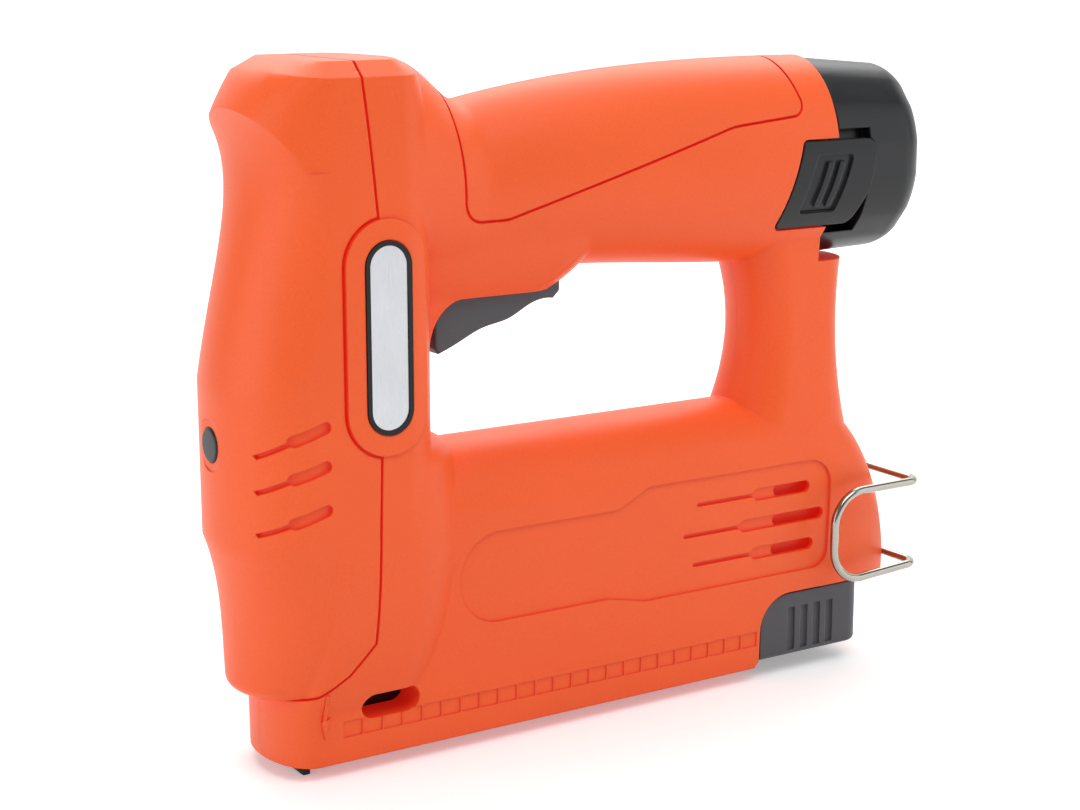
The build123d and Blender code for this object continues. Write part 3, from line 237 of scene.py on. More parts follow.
def sizes():
    """The size settings."""
    return bpy.context.scene.stapler_sizes


def kept(name, make):
    """The material of that name, made the first time that it is asked for."""
    return bpy.data.materials.get(name) or make(name)


def finish_node(node, material):
    """Gives a solid its finish."""
    mesh = solids[node].data
    mesh.materials.clear()
    mesh.materials.append(material)


def mesh_piece(name, mesh, body, material, replaces=()):
    """Puts a finished mesh in the scene as a piece that rides on a body."""
    piece = bpy.data.objects.new(name, mesh)
    bpy.context.scene.collection.objects.link(piece)
    mesh.materials.clear()
    mesh.materials.append(material)
    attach(piece, body)
    if replaces:
        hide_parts(*replaces)
    return piece


def smooth_by_angle(mesh, angle):
    """Shades a mesh smooth, apart from edges that turn by more than the angle in degrees."""
    mesh.polygons.foreach_set("use_smooth", [True] * len(mesh.polygons))
    mesh.set_sharp_from_angle(angle=math.radians(angle))


def welded(mesh):
    """The loose triangles of a solid as a bmesh with its doubles merged."""
    shell = bmesh.new()
    shell.from_mesh(mesh)
    bmesh.ops.remove_doubles(shell, verts=shell.verts, dist=0.001 * MM)
    return shell


def smooth_copy(node, name, material, angle=32):
    """A welded copy of a solid, smooth where its faces meet at less than the angle in degrees."""
    mesh = solids[node].data.copy()
    mesh.name = name
    shell = welded(mesh)
    bmesh.ops.dissolve_degenerate(shell, dist=0.0001 * MM, edges=shell.edges)
    shell.to_mesh(mesh)
    shell.free()
    if "custom_normal" in mesh.attributes:
        mesh.attributes.remove(mesh.attributes["custom_normal"])
    smooth_by_angle(mesh, angle)
    return mesh_piece(name, mesh, solids[node]["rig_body"], material, (node,))


def shell_middles(node):
    """Middle of the box round each separate shell of a solid, in the order of its vertices."""
    shell = welded(solids[node].data)
    seen = set()
    middles = []
    for start in shell.verts:
        if start in seen:
            continue
        joined = []
        waiting = [start]
        while waiting:
            vertex = waiting.pop()
            if vertex not in seen:
                seen.add(vertex)
                joined.append(vertex.co.copy())
                waiting.extend(edge.other_vert(vertex) for edge in vertex.link_edges)
        ends = [(min(values), max(values)) for values in zip(*joined)]
        middles.append(Vector([(low + high) / 2 for low, high in ends]))
    shell.free()
    return middles


# Finishes


def mottled(tree, dark, light, cloud, marks, dimmest, brightest):
    """A colour that drifts between two shades with a broad cloud, under fine marks a little off tone."""
    tone = add_node(tree, "ShaderNodeMix", {"data_type": "RGBA"}, {0: cloud, 6: dark, 7: light})
    fleck = add_node(
        tree,
        "ShaderNodeMapRange",
        None,
        {"Value": marks, "From Min": 0.3, "From Max": 0.7, "To Min": dimmest, "To Max": brightest},
    )
    toned = add_node(
        tree,
        "ShaderNodeMix",
        {"data_type": "RGBA", "blend_type": "MULTIPLY"},
        {0: 1.0, 6: tone.outputs[2], 7: fleck.outputs["Result"]},
    )
    return toned.outputs[2]


def edge_mask(tree, rounded):
    """1 on an edge and 0 off it: a rounded normal leaves the true one only within the edge's radius."""
    true_normal = add_node(tree, "ShaderNodeNewGeometry").outputs["Normal"]
    along = add_node(
        tree, "ShaderNodeVectorMath", {"operation": "DOT_PRODUCT"}, {0: rounded, 1: true_normal}
    )
    edge = add_node(
        tree,
        "ShaderNodeMapRange",
        None,
        {
            "Value": along.outputs["Value"],
            "From Min": 0.995,
            "From Max": 0.80,
            "To Min": 0.0,
            "To Max": 1.0,
        },
    )
    return edge.outputs["Result"]


def paint_groove_shade(tree, surface, base, deep):
    """The base colour with painted shade: redder in grooves, where the ambient occlusion finds them, with
    a painted glow there.
    """
    open_air = add_node(tree, "ShaderNodeAmbientOcclusion", {"samples": 6}, {"Distance": 10 * MM})
    # depth: how far near walls hide a spot, the mask of the painted shade
    depth = add_node(
        tree,
        "ShaderNodeMapRange",
        None,
        {
            "Value": open_air.outputs["AO"],
            "From Min": 0.84,
            "From Max": 0.28,
            "To Min": 0.0,
            "To Max": 1.0,
        },
    ).outputs["Result"]
    # Painted shade: the groove colour mixed in where a spot is hidden
    groove_shaded = add_node(
        tree, "ShaderNodeMix", {"data_type": "RGBA"}, {0: depth, 6: base, 7: linear(deep)}
    )
    # Painted glow: hidden spots emit the groove colour though no lamp lights them
    glow = add_node(tree, "ShaderNodeMath", {"operation": "MULTIPLY"}, {0: depth, 1: 0.36})
    tree.links.new(glow.outputs[0], surface.inputs["Emission Strength"])
    surface.inputs["Emission Color"].default_value = linear(deep)
    return groove_shaded.outputs[2]


def moulded_plastic(name, colour, roughness, grain_depth, deep=None, edge_highlight_gain=1.12, sheen=0.35):
    """ABS from a spark-eroded mould: a fine even grain, edges a little rounded and smoother, with a
    painted highlight that makes them lighter; given a groove colour, painted shade and a painted glow in
    the grooves.
    """
    made, tree, surface, place = new_material(name)
    # Real grains are about 0.1 mm wide and are drawn larger, so that they show
    grain = add_node(
        tree,
        "ShaderNodeTexNoise",
        None,
        {"Vector": place, "Scale": 1 / sizes().grain, "Detail": 3.0, "Roughness": 0.6},
    ).outputs["Fac"]
    # The flow of the plastic leaves soft tones some 45 mm across
    flow = add_node(
        tree, "ShaderNodeTexNoise", None, {"Vector": place, "Scale": 1 / (45 * MM), "Detail": 1.5}
    ).outputs["Fac"]
    toned = mottled(tree, shade(colour, 0.94), shade(colour, 1.05), flow, grain, 0.95, 1.05)
    rounded = add_node(tree, "ShaderNodeBevel", {"samples": 6}, {"Radius": sizes().edge}).outputs[0]
    edge = edge_mask(tree, rounded)
    # Painted highlight: edges are painted lighter by the gain, as if their rounding caught the light
    edge_lit = add_node(
        tree,
        "ShaderNodeMix",
        {"data_type": "RGBA"},
        {0: edge, 6: toned, 7: shade(colour, edge_highlight_gain)},
    )
    base = edge_lit.outputs[2]
    # Painted shade and a painted glow in the grooves
    if deep:
        base = paint_groove_shade(tree, surface, base, deep)
    gloss = add_node(
        tree,
        "ShaderNodeMapRange",
        None,
        {"Value": flow, "To Min": roughness - 0.04, "To Max": roughness + 0.05},
    )
    worn = add_node(
        tree,
        "ShaderNodeMath",
        {"operation": "MULTIPLY_ADD"},
        {0: edge, 1: -0.08, 2: gloss.outputs["Result"]},
    )
    bump = add_node(
        tree,
        "ShaderNodeBump",
        None,
        {"Strength": 1.0, "Distance": grain_depth, "Height": grain, "Normal": rounded},
    )
    tree.links.new(base, surface.inputs["Base Color"])
    tree.links.new(worn.outputs[0], surface.inputs["Roughness"])
    tree.links.new(bump.outputs[0], surface.inputs["Normal"])
    surface.inputs["IOR"].default_value = 1.54
    surface.inputs["Specular IOR Level"].default_value = sheen
    return made


def orange_abs(name):
    """Satin orange ABS of the body."""
    orange, groove_shade = colours().orange, colours().groove_shade
    return moulded_plastic(
        name, orange, roughness=0.43, grain_depth=0.010 * MM, deep=groove_shade, edge_highlight_gain=1.10, sheen=0.30
    )


def charcoal_abs(name):
    """Matt charcoal ABS of the trigger and the tail."""
    return moulded_plastic(
        name, colours().charcoal, roughness=0.48, grain_depth=0.012 * MM, edge_highlight_gain=1.35
    )


def black_abs(name):
    """Satin near-black ABS of the battery case, its latches and the plug."""
    return moulded_plastic(
        name, colours().black, roughness=0.34, grain_depth=0.008 * MM, edge_highlight_gain=1.5, sheen=0.28
    )


def red_acetal(name):
    """Smooth red acetal of the switch's plunger."""
    return moulded_plastic(name, "#B3221C", roughness=0.30, grain_depth=0.003 * MM)


def gloss_black(name):
    """Polished black ABS of the badge's rim: deep gloss with faint polishing swirls."""
    made, tree, surface, place = new_material(name)
    # Swirls some 4 mm across
    swirl = add_node(
        tree, "ShaderNodeTexNoise", None, {"Vector": place, "Scale": 1 / (4 * MM), "Detail": 2.0}
    ).outputs["Fac"]
    gloss = add_node(tree, "ShaderNodeMapRange", None, {"Value": swirl, "To Min": 0.12, "To Max": 0.22})
    tone = add_node(
        tree,
        "ShaderNodeMix",
        {"data_type": "RGBA"},
        {0: swirl, 6: shade(colours().rim, 0.9), 7: shade(colours().rim, 1.2)},
    )
    tree.links.new(tone.outputs[2], surface.inputs["Base Color"])
    tree.links.new(gloss.outputs["Result"], surface.inputs["Roughness"])
    surface.inputs["IOR"].default_value = 1.54
    surface.inputs["Specular IOR Level"].default_value = 0.25
    return made


def worked_metal(
    name, colour, roughness, grain, depth, stretch=(1.0, 1.0, 1.0), stain=None, metallic=1.0
):
    """A metal with the fine marks of its making, drawn out along one axis by the stretch."""
    made, tree, surface, place = new_material(name)
    drawn = add_node(tree, "ShaderNodeMapping", None, {"Vector": place, "Scale": stretch})
    marks = add_node(
        tree,
        "ShaderNodeTexNoise",
        None,
        {"Vector": drawn.outputs[0], "Scale": 1 / grain, "Detail": 4.0, "Roughness": 0.65},
    ).outputs["Fac"]
    # Clouds of tarnish or plating some 12 mm across
    cloud = add_node(
        tree, "ShaderNodeTexNoise", None, {"Vector": place, "Scale": 1 / (12 * MM), "Detail": 2.0}
    ).outputs["Fac"]
    toned = mottled(tree, shade(stain or colour, 0.92), shade(colour, 1.05), cloud, marks, 0.93, 1.05)
    gloss = add_node(
        tree,
        "ShaderNodeMapRange",
        None,
        {"Value": marks, "To Min": roughness * 0.8, "To Max": roughness * 1.25},
    )
    bump = add_node(
        tree, "ShaderNodeBump", None, {"Strength": 1.0, "Distance": depth, "Height": marks}
    )
    tree.links.new(toned, surface.inputs["Base Color"])
    tree.links.new(gloss.outputs["Result"], surface.inputs["Roughness"])
    tree.links.new(bump.outputs[0], surface.inputs["Normal"])
    surface.inputs["Metallic"].default_value = metallic
    return made


def brushed_aluminium(name):
    """Bright aluminium of the badge plate, brushed along its length with lines about 0.15 mm apart."""
    along = (1.0, 1.0, 0.03)
    return worked_metal(
        name, colours().silver, roughness=0.28, grain=0.15 * MM, depth=0.0012 * MM, stretch=along
    )


def nickel_wire(name):
    """Nickel-plated steel wire of the belt hook, with faint drawing lines."""
    along = (0.15, 1.0, 1.0)
    return worked_metal(
        name, colours().nickel, roughness=0.17, grain=0.3 * MM, depth=0.001 * MM, stretch=along
    )


def black_oxide(name):
    """Hardened steel blackened in hot salts, with brown in the rubbed places."""
    brown = "#3A312B"
    return worked_metal(
        name, "#2C2B2B", roughness=0.42, grain=0.25 * MM, depth=0.003 * MM, stain=brown, metallic=0.75
    )


def zinc_steel(name):
    """Steel sheet with clear zinc plating: pale, with a soft cloudy sheen."""
    return worked_metal(
        name, "#B9BCBF", roughness=0.33, grain=0.4 * MM, depth=0.002 * MM, stain="#A9AEB4"
    )


def bright_steel(name):
    """Bright drawn steel of the staples, the rail, the pusher and the pins."""
    along = (1.0, 0.1, 1.0)
    return worked_metal(
        name, "#C6C7C6", roughness=0.28, grain=0.2 * MM, depth=0.002 * MM, stretch=along
    )


def spring_steel(name):
    """Oil-tempered spring wire: dark grey with a blue cast."""
    return worked_metal(
        name, "#5E6268", roughness=0.32, grain=0.2 * MM, depth=0.002 * MM, stain="#4C4A4A"
    )


def gear_steel(name):
    """Sintered gear steel: grey, open-grained, oiled."""
    return worked_metal(
        name, "#8A8B8D", roughness=0.40, grain=0.25 * MM, depth=0.005 * MM, stain="#77736E"
    )


def bronze(name):
    """Oil-filled sintered bronze of the bushes."""
    return worked_metal(
        name, "#A9743E", roughness=0.40, grain=0.25 * MM, depth=0.004 * MM, stain="#8C5F35"
    )


def brass(name):
    """Stamped brass of the battery's contacts."""
    along, stain = (0.1, 1.0, 1.0), "#B98F45"
    return worked_metal(
        name, "#C9A24E", roughness=0.24, grain=0.3 * MM, depth=0.001 * MM, stretch=along, stain=stain
    )


def cell_wrap(name):
    """Heat-shrunk PVC sleeve of the cells: glossy, with slight waves from shrinking."""
    made, tree, surface, place = new_material(name)
    # Waves some 6 mm across
    wave = add_node(
        tree, "ShaderNodeTexNoise", None, {"Vector": place, "Scale": 1 / (6 * MM), "Detail": 1.0}
    ).outputs["Fac"]
    tone = add_node(
        tree,
        "ShaderNodeMix",
        {"data_type": "RGBA"},
        {0: wave, 6: linear("#2A2C30"), 7: linear("#34363B")},
    )
    bump = add_node(
        tree, "ShaderNodeBump", None, {"Strength": 0.6, "Distance": 0.05 * MM, "Height": wave}
    )
    tree.links.new(tone.outputs[2], surface.inputs["Base Color"])
    tree.links.new(bump.outputs[0], surface.inputs["Normal"])
    surface.inputs["Roughness"].default_value = 0.18
    surface.inputs["IOR"].default_value = 1.53
    return made


def board_epoxy(name):
    """Glass-epoxy board under green lacquer, with the weave of the glass showing through."""
    made, tree, surface, place = new_material(name)
    # Glass yarns lie about 0.5 mm apart and are drawn some 1 mm apart, so that they show
    yarn = 0.5 * MM
    warp, weft = (
        add_node(
            tree,
            "ShaderNodeTexWave",
            {"bands_direction": direction},
            {"Vector": place, "Scale": 1 / (yarn * math.tau)},
        )
        for direction in ("X", "Z")
    )
    weave = add_node(
        tree,
        "ShaderNodeMath",
        {"operation": "MULTIPLY"},
        {0: warp.outputs["Fac"], 1: weft.outputs["Fac"]},
    )
    tone = add_node(
        tree,
        "ShaderNodeMix",
        {"data_type": "RGBA"},
        {0: weave.outputs[0], 6: linear("#1C5A36"), 7: linear("#256B42")},
    )
    tree.links.new(tone.outputs[2], surface.inputs["Base Color"])
    surface.inputs["Roughness"].default_value = 0.25
    surface.inputs["IOR"].default_value = 1.5
    return made


def bumper_rubber(name):
    """Moulded nitrile rubber: dull black with a soft bloom."""
    return moulded_plastic(name, "#26262A", roughness=0.68, grain_depth=0.015 * MM, edge_highlight_gain=1.2)


# Geometry Nodes for what repeats


def repeat_tree(name, points):
    """A tree that puts a copy of an object at each point and makes one plain mesh of them.

    points is "mesh", for the points of the modifier's own mesh, or "line", for a row along X."""
    tree = bpy.data.node_groups.new(name, "GeometryNodeTree")
    face = tree.interface
    face.new_socket("Geometry", in_out="INPUT", socket_type="NodeSocketGeometry")
    face.new_socket("Pattern piece", in_out="INPUT", socket_type="NodeSocketObject")
    face.new_socket("Finish", in_out="INPUT", socket_type="NodeSocketMaterial")
    if points == "line":
        face.new_socket("Count", in_out="INPUT", socket_type="NodeSocketInt")
        face.new_socket("First", in_out="INPUT", socket_type="NodeSocketVector")
        face.new_socket("Step", in_out="INPUT", socket_type="NodeSocketVector")
    face.new_socket("Geometry", in_out="OUTPUT", socket_type="NodeSocketGeometry")
    given = add_node(tree, "NodeGroupInput").outputs
    source = given["Geometry"]
    if points == "line":
        row = add_node(
            tree,
            "GeometryNodeMeshLine",
            {"mode": "OFFSET", "count_mode": "TOTAL"},
            {"Count": given["Count"], "Start Location": given["First"], "Offset": given["Step"]},
        )
        source = row.outputs["Mesh"]
    pattern = add_node(
        tree, "GeometryNodeObjectInfo", {"transform_space": "ORIGINAL"}, {"Object": given["Pattern piece"]}
    )
    copies = add_node(
        tree,
        "GeometryNodeInstanceOnPoints",
        None,
        {"Points": source, "Instance": pattern.outputs["Geometry"]},
    )
    real = add_node(tree, "GeometryNodeRealizeInstances", None, {"Geometry": copies.outputs["Instances"]})
    painted = add_node(
        tree,
        "GeometryNodeSetMaterial",
        None,
        {"Geometry": real.outputs["Geometry"], "Material": given["Finish"]},
    )
    add_node(tree, "NodeGroupOutput", None, {"Geometry": painted.outputs["Geometry"]})
    return tree


def repeated_mesh(name, tree, start_mesh, values):
    """Runs a tree on a mesh with its named inputs set, and returns the result as a plain mesh."""
    holder = bpy.data.objects.new(name + "_holder", start_mesh)
    bpy.context.scene.collection.objects.link(holder)
    modifier = holder.modifiers.new("Repeat", "NODES")
    modifier.node_group = tree
    for item in tree.interface.items_tree:
        if item.item_type == "SOCKET" and item.in_out == "INPUT" and item.name in values:
            modifier[item.identifier] = values[item.name]
    bpy.context.view_layer.update()
    made = bpy.data.meshes.new_from_object(holder.evaluated_get(bpy.context.evaluated_depsgraph_get()))
    made.name = name
    holder.modifiers.remove(modifier)
    bpy.data.objects.remove(holder)
    return made


def pattern_object(name, mesh):
    """An object that a tree copies, kept out of the render."""
    pattern = bpy.data.objects.new(name, mesh)
    bpy.context.scene.collection.objects.link(pattern)
    pattern.hide_render = True
    return pattern


# Shapes that the trees repeat


def clean_mesh(shell, name):
    """Welds a bmesh, turns its faces outwards and returns it as a mesh."""
    bmesh.ops.remove_doubles(shell, verts=shell.verts, dist=1e-7)
    bmesh.ops.recalc_face_normals(shell, faces=shell.faces)
    mesh = bpy.data.meshes.new(name)
    shell.to_mesh(mesh)
    shell.free()
    return mesh


def screw_mesh(name, head_radius, head_height, shank_radius, shank_length, pitch):
    """A pan-head screw with a six-lobe socket, along Z: seat at 0, head above it, thread below."""
    shell = bmesh.new()
    sides = 48
    rings = []

    def ring(radius, height, lobes=0.0):
        """Adds a ring of points, round or with six lobes that swing by a share of the radius."""
        points = []
        for k in range(sides):
            angle = math.tau * k / sides
            reach = radius * (1 + lobes * math.cos(6 * angle))
            points.append(shell.verts.new((reach * math.cos(angle), reach * math.sin(angle), height)))
        rings.append(points)

    # Share of the head's radius that the socket takes, and the swing of its lobes
    socket, swing = 0.42, 0.13
    ring(head_radius * socket * 0.9, head_height * 0.30, swing)
    ring(head_radius * socket, head_height * 0.97, swing)
    # The head's crown as shares of its radius and height, from the socket's brim to the seat
    crown = ((socket * 1.25, 1.0), (0.62, 0.97), (0.86, 0.80), (0.97, 0.52), (1.0, 0.22), (1.0, 0.0))
    for across, up in crown:
        ring(head_radius * across, head_height * up)
    ring(shank_radius * 1.05, 0.0)
    # The thread's profile at each quarter of a pitch, as shares of the shank's radius
    profile = (0.80, 0.92, 1.05, 0.92)
    steps = int(shank_length / pitch) * len(profile)
    below_seat = 0.01 * MM
    for k in range(steps + 1):
        ring(shank_radius * profile[k % len(profile)], -shank_length * k / steps - below_seat)
    # Blunt tip
    ring(shank_radius * 0.35, -shank_length - shank_radius * 0.8)
    for upper, lower in zip(rings, rings[1:]):
        for k in range(sides):
            j = (k + 1) % sides
            shell.faces.new((upper[k], upper[j], lower[j], lower[k]))
    shell.faces.new(rings[0])
    shell.faces.new(list(reversed(rings[-1])))
    mesh = clean_mesh(shell, name)
    smooth_by_angle(mesh, 38)
    return mesh


def arch(half, foot, top, bend):
    """Points of a square arch with cut corners, from its left foot over to its right one."""
    right = [(half - bend, top), (half, top - bend), (half, foot)]
    return [(-y, z) for y, z in reversed(right)] + right


# Pieces


class STAPLER_OT_body(bpy.types.Operator):
    """Orange mouldings: both halves, the front cover and the grip cover"""

    bl_idname = "stapler.body"
    bl_label = "Body mouldings"

    def execute(self, context):
        finish = kept("abs_orange_spark_textured", orange_abs)
        for node in ("left_housing", "right_housing", "front_cover", "grip_cover"):
            smooth_copy(node, node + "_moulding", finish)
        return {"FINISHED"}


class STAPLER_OT_dark_mouldings(bpy.types.Operator):
    """Charcoal and black mouldings: trigger, tail, battery, latches, plug and inner plastics"""

    bl_idname = "stapler.dark_mouldings"
    bl_label = "Dark mouldings"

    def execute(self, context):
        charcoal = kept("abs_charcoal_matt", charcoal_abs)
        black = kept("abs_black_satin", black_abs)
        for node in ("trigger", "magazine_tail"):
            smooth_copy(node, node + "_moulding", charcoal)
        for node in ("battery_case", "left_latch", "right_latch", "front_plug"):
            smooth_copy(node, node + "_moulding", black)
        for node in ("trigger_switch", "terminal_block", "motor_end_cap", "ring_gear_case"):
            finish_node(node, black)
        finish_node("switch_plunger", kept("acetal_red", red_acetal))
        finish_node("bumper", kept("rubber_nitrile", bumper_rubber))
        finish_node("battery_cells", kept("pvc_cell_sleeve", cell_wrap))
        finish_node("controller_board", kept("glass_epoxy_green", board_epoxy))
        return {"FINISHED"}


class STAPLER_OT_badge(bpy.types.Operator):
    """Bare badge: glossy rim and brushed plate"""

    bl_idname = "stapler.badge"
    bl_label = "Badge"

    def execute(self, context):
        smooth_copy("badge_rim", "badge_rim_gloss", kept("abs_black_gloss", gloss_black))
        plate = kept("aluminium_brushed", brushed_aluminium)
        smooth_copy("badge_plate", "badge_plate_brushed", plate)
        return {"FINISHED"}


class STAPLER_OT_metalwork(bpy.types.Operator):
    """Metal solids: hook, nose, magazine, frame, gears, shafts and contacts"""

    bl_idname = "stapler.metalwork"
    bl_label = "Metalwork"

    def execute(self, context):
        # Wire is smooth all round, so its facets are blended over a wider angle
        round_wire = 60
        nickel = kept("steel_nickel_plated", nickel_wire)
        smooth_copy("belt_hook", "belt_hook_wire", nickel, round_wire)
        drive_train = (
            "motor_rotor",
            "sun_pinion",
            "planet_gear_1",
            "planet_gear_2",
            "planet_gear_3",
            "planet_carrier",
            "bevel_pinion",
            "bevel_gear",
            "lifter_wheel",
            "hammer",
        )
        plated = ("drive_frame", "motor_can", "trigger_pin", "front_cover_screw")
        bright = (
            "magazine_rail",
            "pusher",
            "pusher_spring",
            "driver_blade",
            "lifter_shaft",
            "planet_pins",
        )
        groups = (
            ("steel_black_oxide", black_oxide, ("nose_plate", "magazine_channel")),
            ("steel_zinc_plated", zinc_steel, plated),
            ("steel_bright_drawn", bright_steel, bright),
            ("steel_sintered", gear_steel, drive_train),
            ("bronze_sintered", bronze, ("shaft_bushes",)),
            ("brass_stamped", brass, ("terminal_blades", "battery_terminals")),
        )
        for name, make, members in groups:
            for node in members:
                finish_node(node, kept(name, make))
        # A coil gets shorter towards its upper seat and keeps this share of its length
        # Each coil with its joint and a share of its length; the joint and the share are not used
        coils = (("main_spring", "hammer_lift", 0.655), ("trigger_spring", "trigger_pull", 0.40))
        for node, joint, share in coils:
            coil = smooth_copy(
                node, node + "_coil", kept("steel_spring", spring_steel), round_wire
            )
            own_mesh(coil)
        return {"FINISHED"}


class STAPLER_OT_screws(bpy.types.Operator):
    """Housing screws with six-lobe sockets and threads, in their wells on the right side"""

    bl_idname = "stapler.screws"
    bl_label = "Housing screws"

    def execute(self, context):
        low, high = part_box("housing_screws")
        head_radius = 3.1 * MM
        head_height = 2.45 * MM
        shank_radius = 1.2 * MM
        # A solid's head is 2.5 mm high, and its last 1.1 mm is left to the blunt tip
        seat = high.y - 2.5 * MM
        length = seat - low.y - 1.1 * MM
        pattern = screw_mesh(
            "screw_pattern", head_radius, head_height, shank_radius, length, sizes().thread
        )
        # The pattern's Z turns to the object's Y
        pattern.transform(Matrix.Rotation(math.radians(-90), 4, "X"))
        shape = pattern_object("screw_pattern", pattern)
        points = bpy.data.meshes.new("screw_places")
        places = [(middle.x, seat, middle.z) for middle in shell_middles("housing_screws")]
        points.from_pydata(places, [], [])
        finish = kept("steel_zinc_plated", zinc_steel)
        made = repeated_mesh(
            "housing_screw_set",
            repeat_tree("Screws on places", "mesh"),
            points,
            {"Pattern piece": shape, "Finish": finish},
        )
        bpy.data.objects.remove(shape)
        mesh_piece("housing_screw_set", made, "housing", finish, ("housing_screws",))
        return {"FINISHED"}


class STAPLER_OT_staples(bpy.types.Operator):
    """Strip of staples on the rail"""

    bl_idname = "stapler.staples"
    bl_label = "Staples"

    def execute(self, context):
        low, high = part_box("staple_strip")
        count = sizes().staples
        pitch = (high.x - low.x) / count
        # A hair's gap stays between one staple and the next
        wire = min(sizes().wire, pitch * 0.94)
        thick = 0.55 * MM
        bend = 0.4 * MM
        inner_bend = 0.2 * MM
        outer = arch(high.y, low.z, high.z, bend)
        inner = arch(high.y - thick, low.z, high.z - thick, inner_bend)
        outline = outer + list(reversed(inner))
        last = len(outline) - 1
        shell = bmesh.new()
        front = [shell.verts.new((0.0, y, z)) for y, z in outline]
        back = [shell.verts.new((wire, y, z)) for y, z in outline]
        for k in range(len(outer) - 1):
            quad = (k, k + 1, last - k - 1, last - k)
            shell.faces.new([front[corner] for corner in quad])
            shell.faces.new([back[corner] for corner in reversed(quad)])
        for k in range(len(outline)):
            j = (k + 1) % len(outline)
            shell.faces.new((front[j], front[k], back[k], back[j]))
        # Edges that lie across the strip are rounded off
        across = [e for e in shell.edges if abs(e.verts[0].co.x - e.verts[1].co.x) < 1e-9]
        bmesh.ops.bevel(
            shell,
            geom=across,
            offset=0.12 * MM,
            segments=1,
            affect="EDGES",
            clamp_overlap=True,
        )
        shape = pattern_object("staple_pattern", clean_mesh(shell, "staple_pattern"))
        finish = kept("steel_bright_drawn", bright_steel)
        first = (low.x + 0.02 * MM, 0.0, 0.0)
        made = repeated_mesh(
            "staple_row",
            repeat_tree("Staples in a row", "line"),
            bpy.data.meshes.new("staple_start"),
            {
                "Pattern piece": shape,
                "Finish": finish,
                "Count": count,
                "First": first,
                "Step": (pitch, 0.0, 0.0),
            },
        )
        bpy.data.objects.remove(shape)
        mesh_piece("staple_row", made, "magazine", finish, ("staple_strip",))
        return {"FINISHED"}


class STAPLER_OT_arrow(bpy.types.Operator):
    """Small moulded arrow that points to the staple exit, on the left side of the nose"""

    bl_idname = "stapler.arrow"
    bl_label = "Nose arrow"

    def execute(self, context):
        mesh = solids["left_housing"].data
        tree = BVHTree.FromPolygons([v.co for v in mesh.vertices], [p.vertices for p in mesh.polygons])
        # X and Z of the corners: the tail's end, the barbs and the tip
        outline = (
            (-0.5 * MM, 27.0 * MM),
            (0.5 * MM, 27.0 * MM),
            (0.5 * MM, 18.5 * MM),
            (2.0 * MM, 19.2 * MM),
            (0.0, 13.0 * MM),
            (-1.0 * MM, 18.5 * MM),
            (-0.5 * MM, 18.5 * MM),
        )
        rise = 0.45 * MM
        root = 0.2 * MM
        outside = -80 * MM
        shell = bmesh.new()
        raised, sunk = [], []
        for x, z in outline:
            # The arrow leans with the slanted side that carries it
            point, normal, _, _ = tree.ray_cast(Vector((x, outside, z)), Vector((0, 1, 0)))
            if point is None:
                raise RuntimeError("the nose's side isn't where the arrow sits")
            raised.append(shell.verts.new(point + normal * rise))
            sunk.append(shell.verts.new(point - normal * root))
        shell.faces.new(raised)
        shell.faces.new(list(reversed(sunk)))
        for k in range(len(outline)):
            j = (k + 1) % len(outline)
            shell.faces.new((raised[k], raised[j], sunk[j], sunk[k]))
        made = clean_mesh(shell, "nose_arrow")
        finish = kept("abs_orange_spark_textured", orange_abs)
        mesh_piece("nose_arrow", made, "housing", finish)
        return {"FINISHED"}


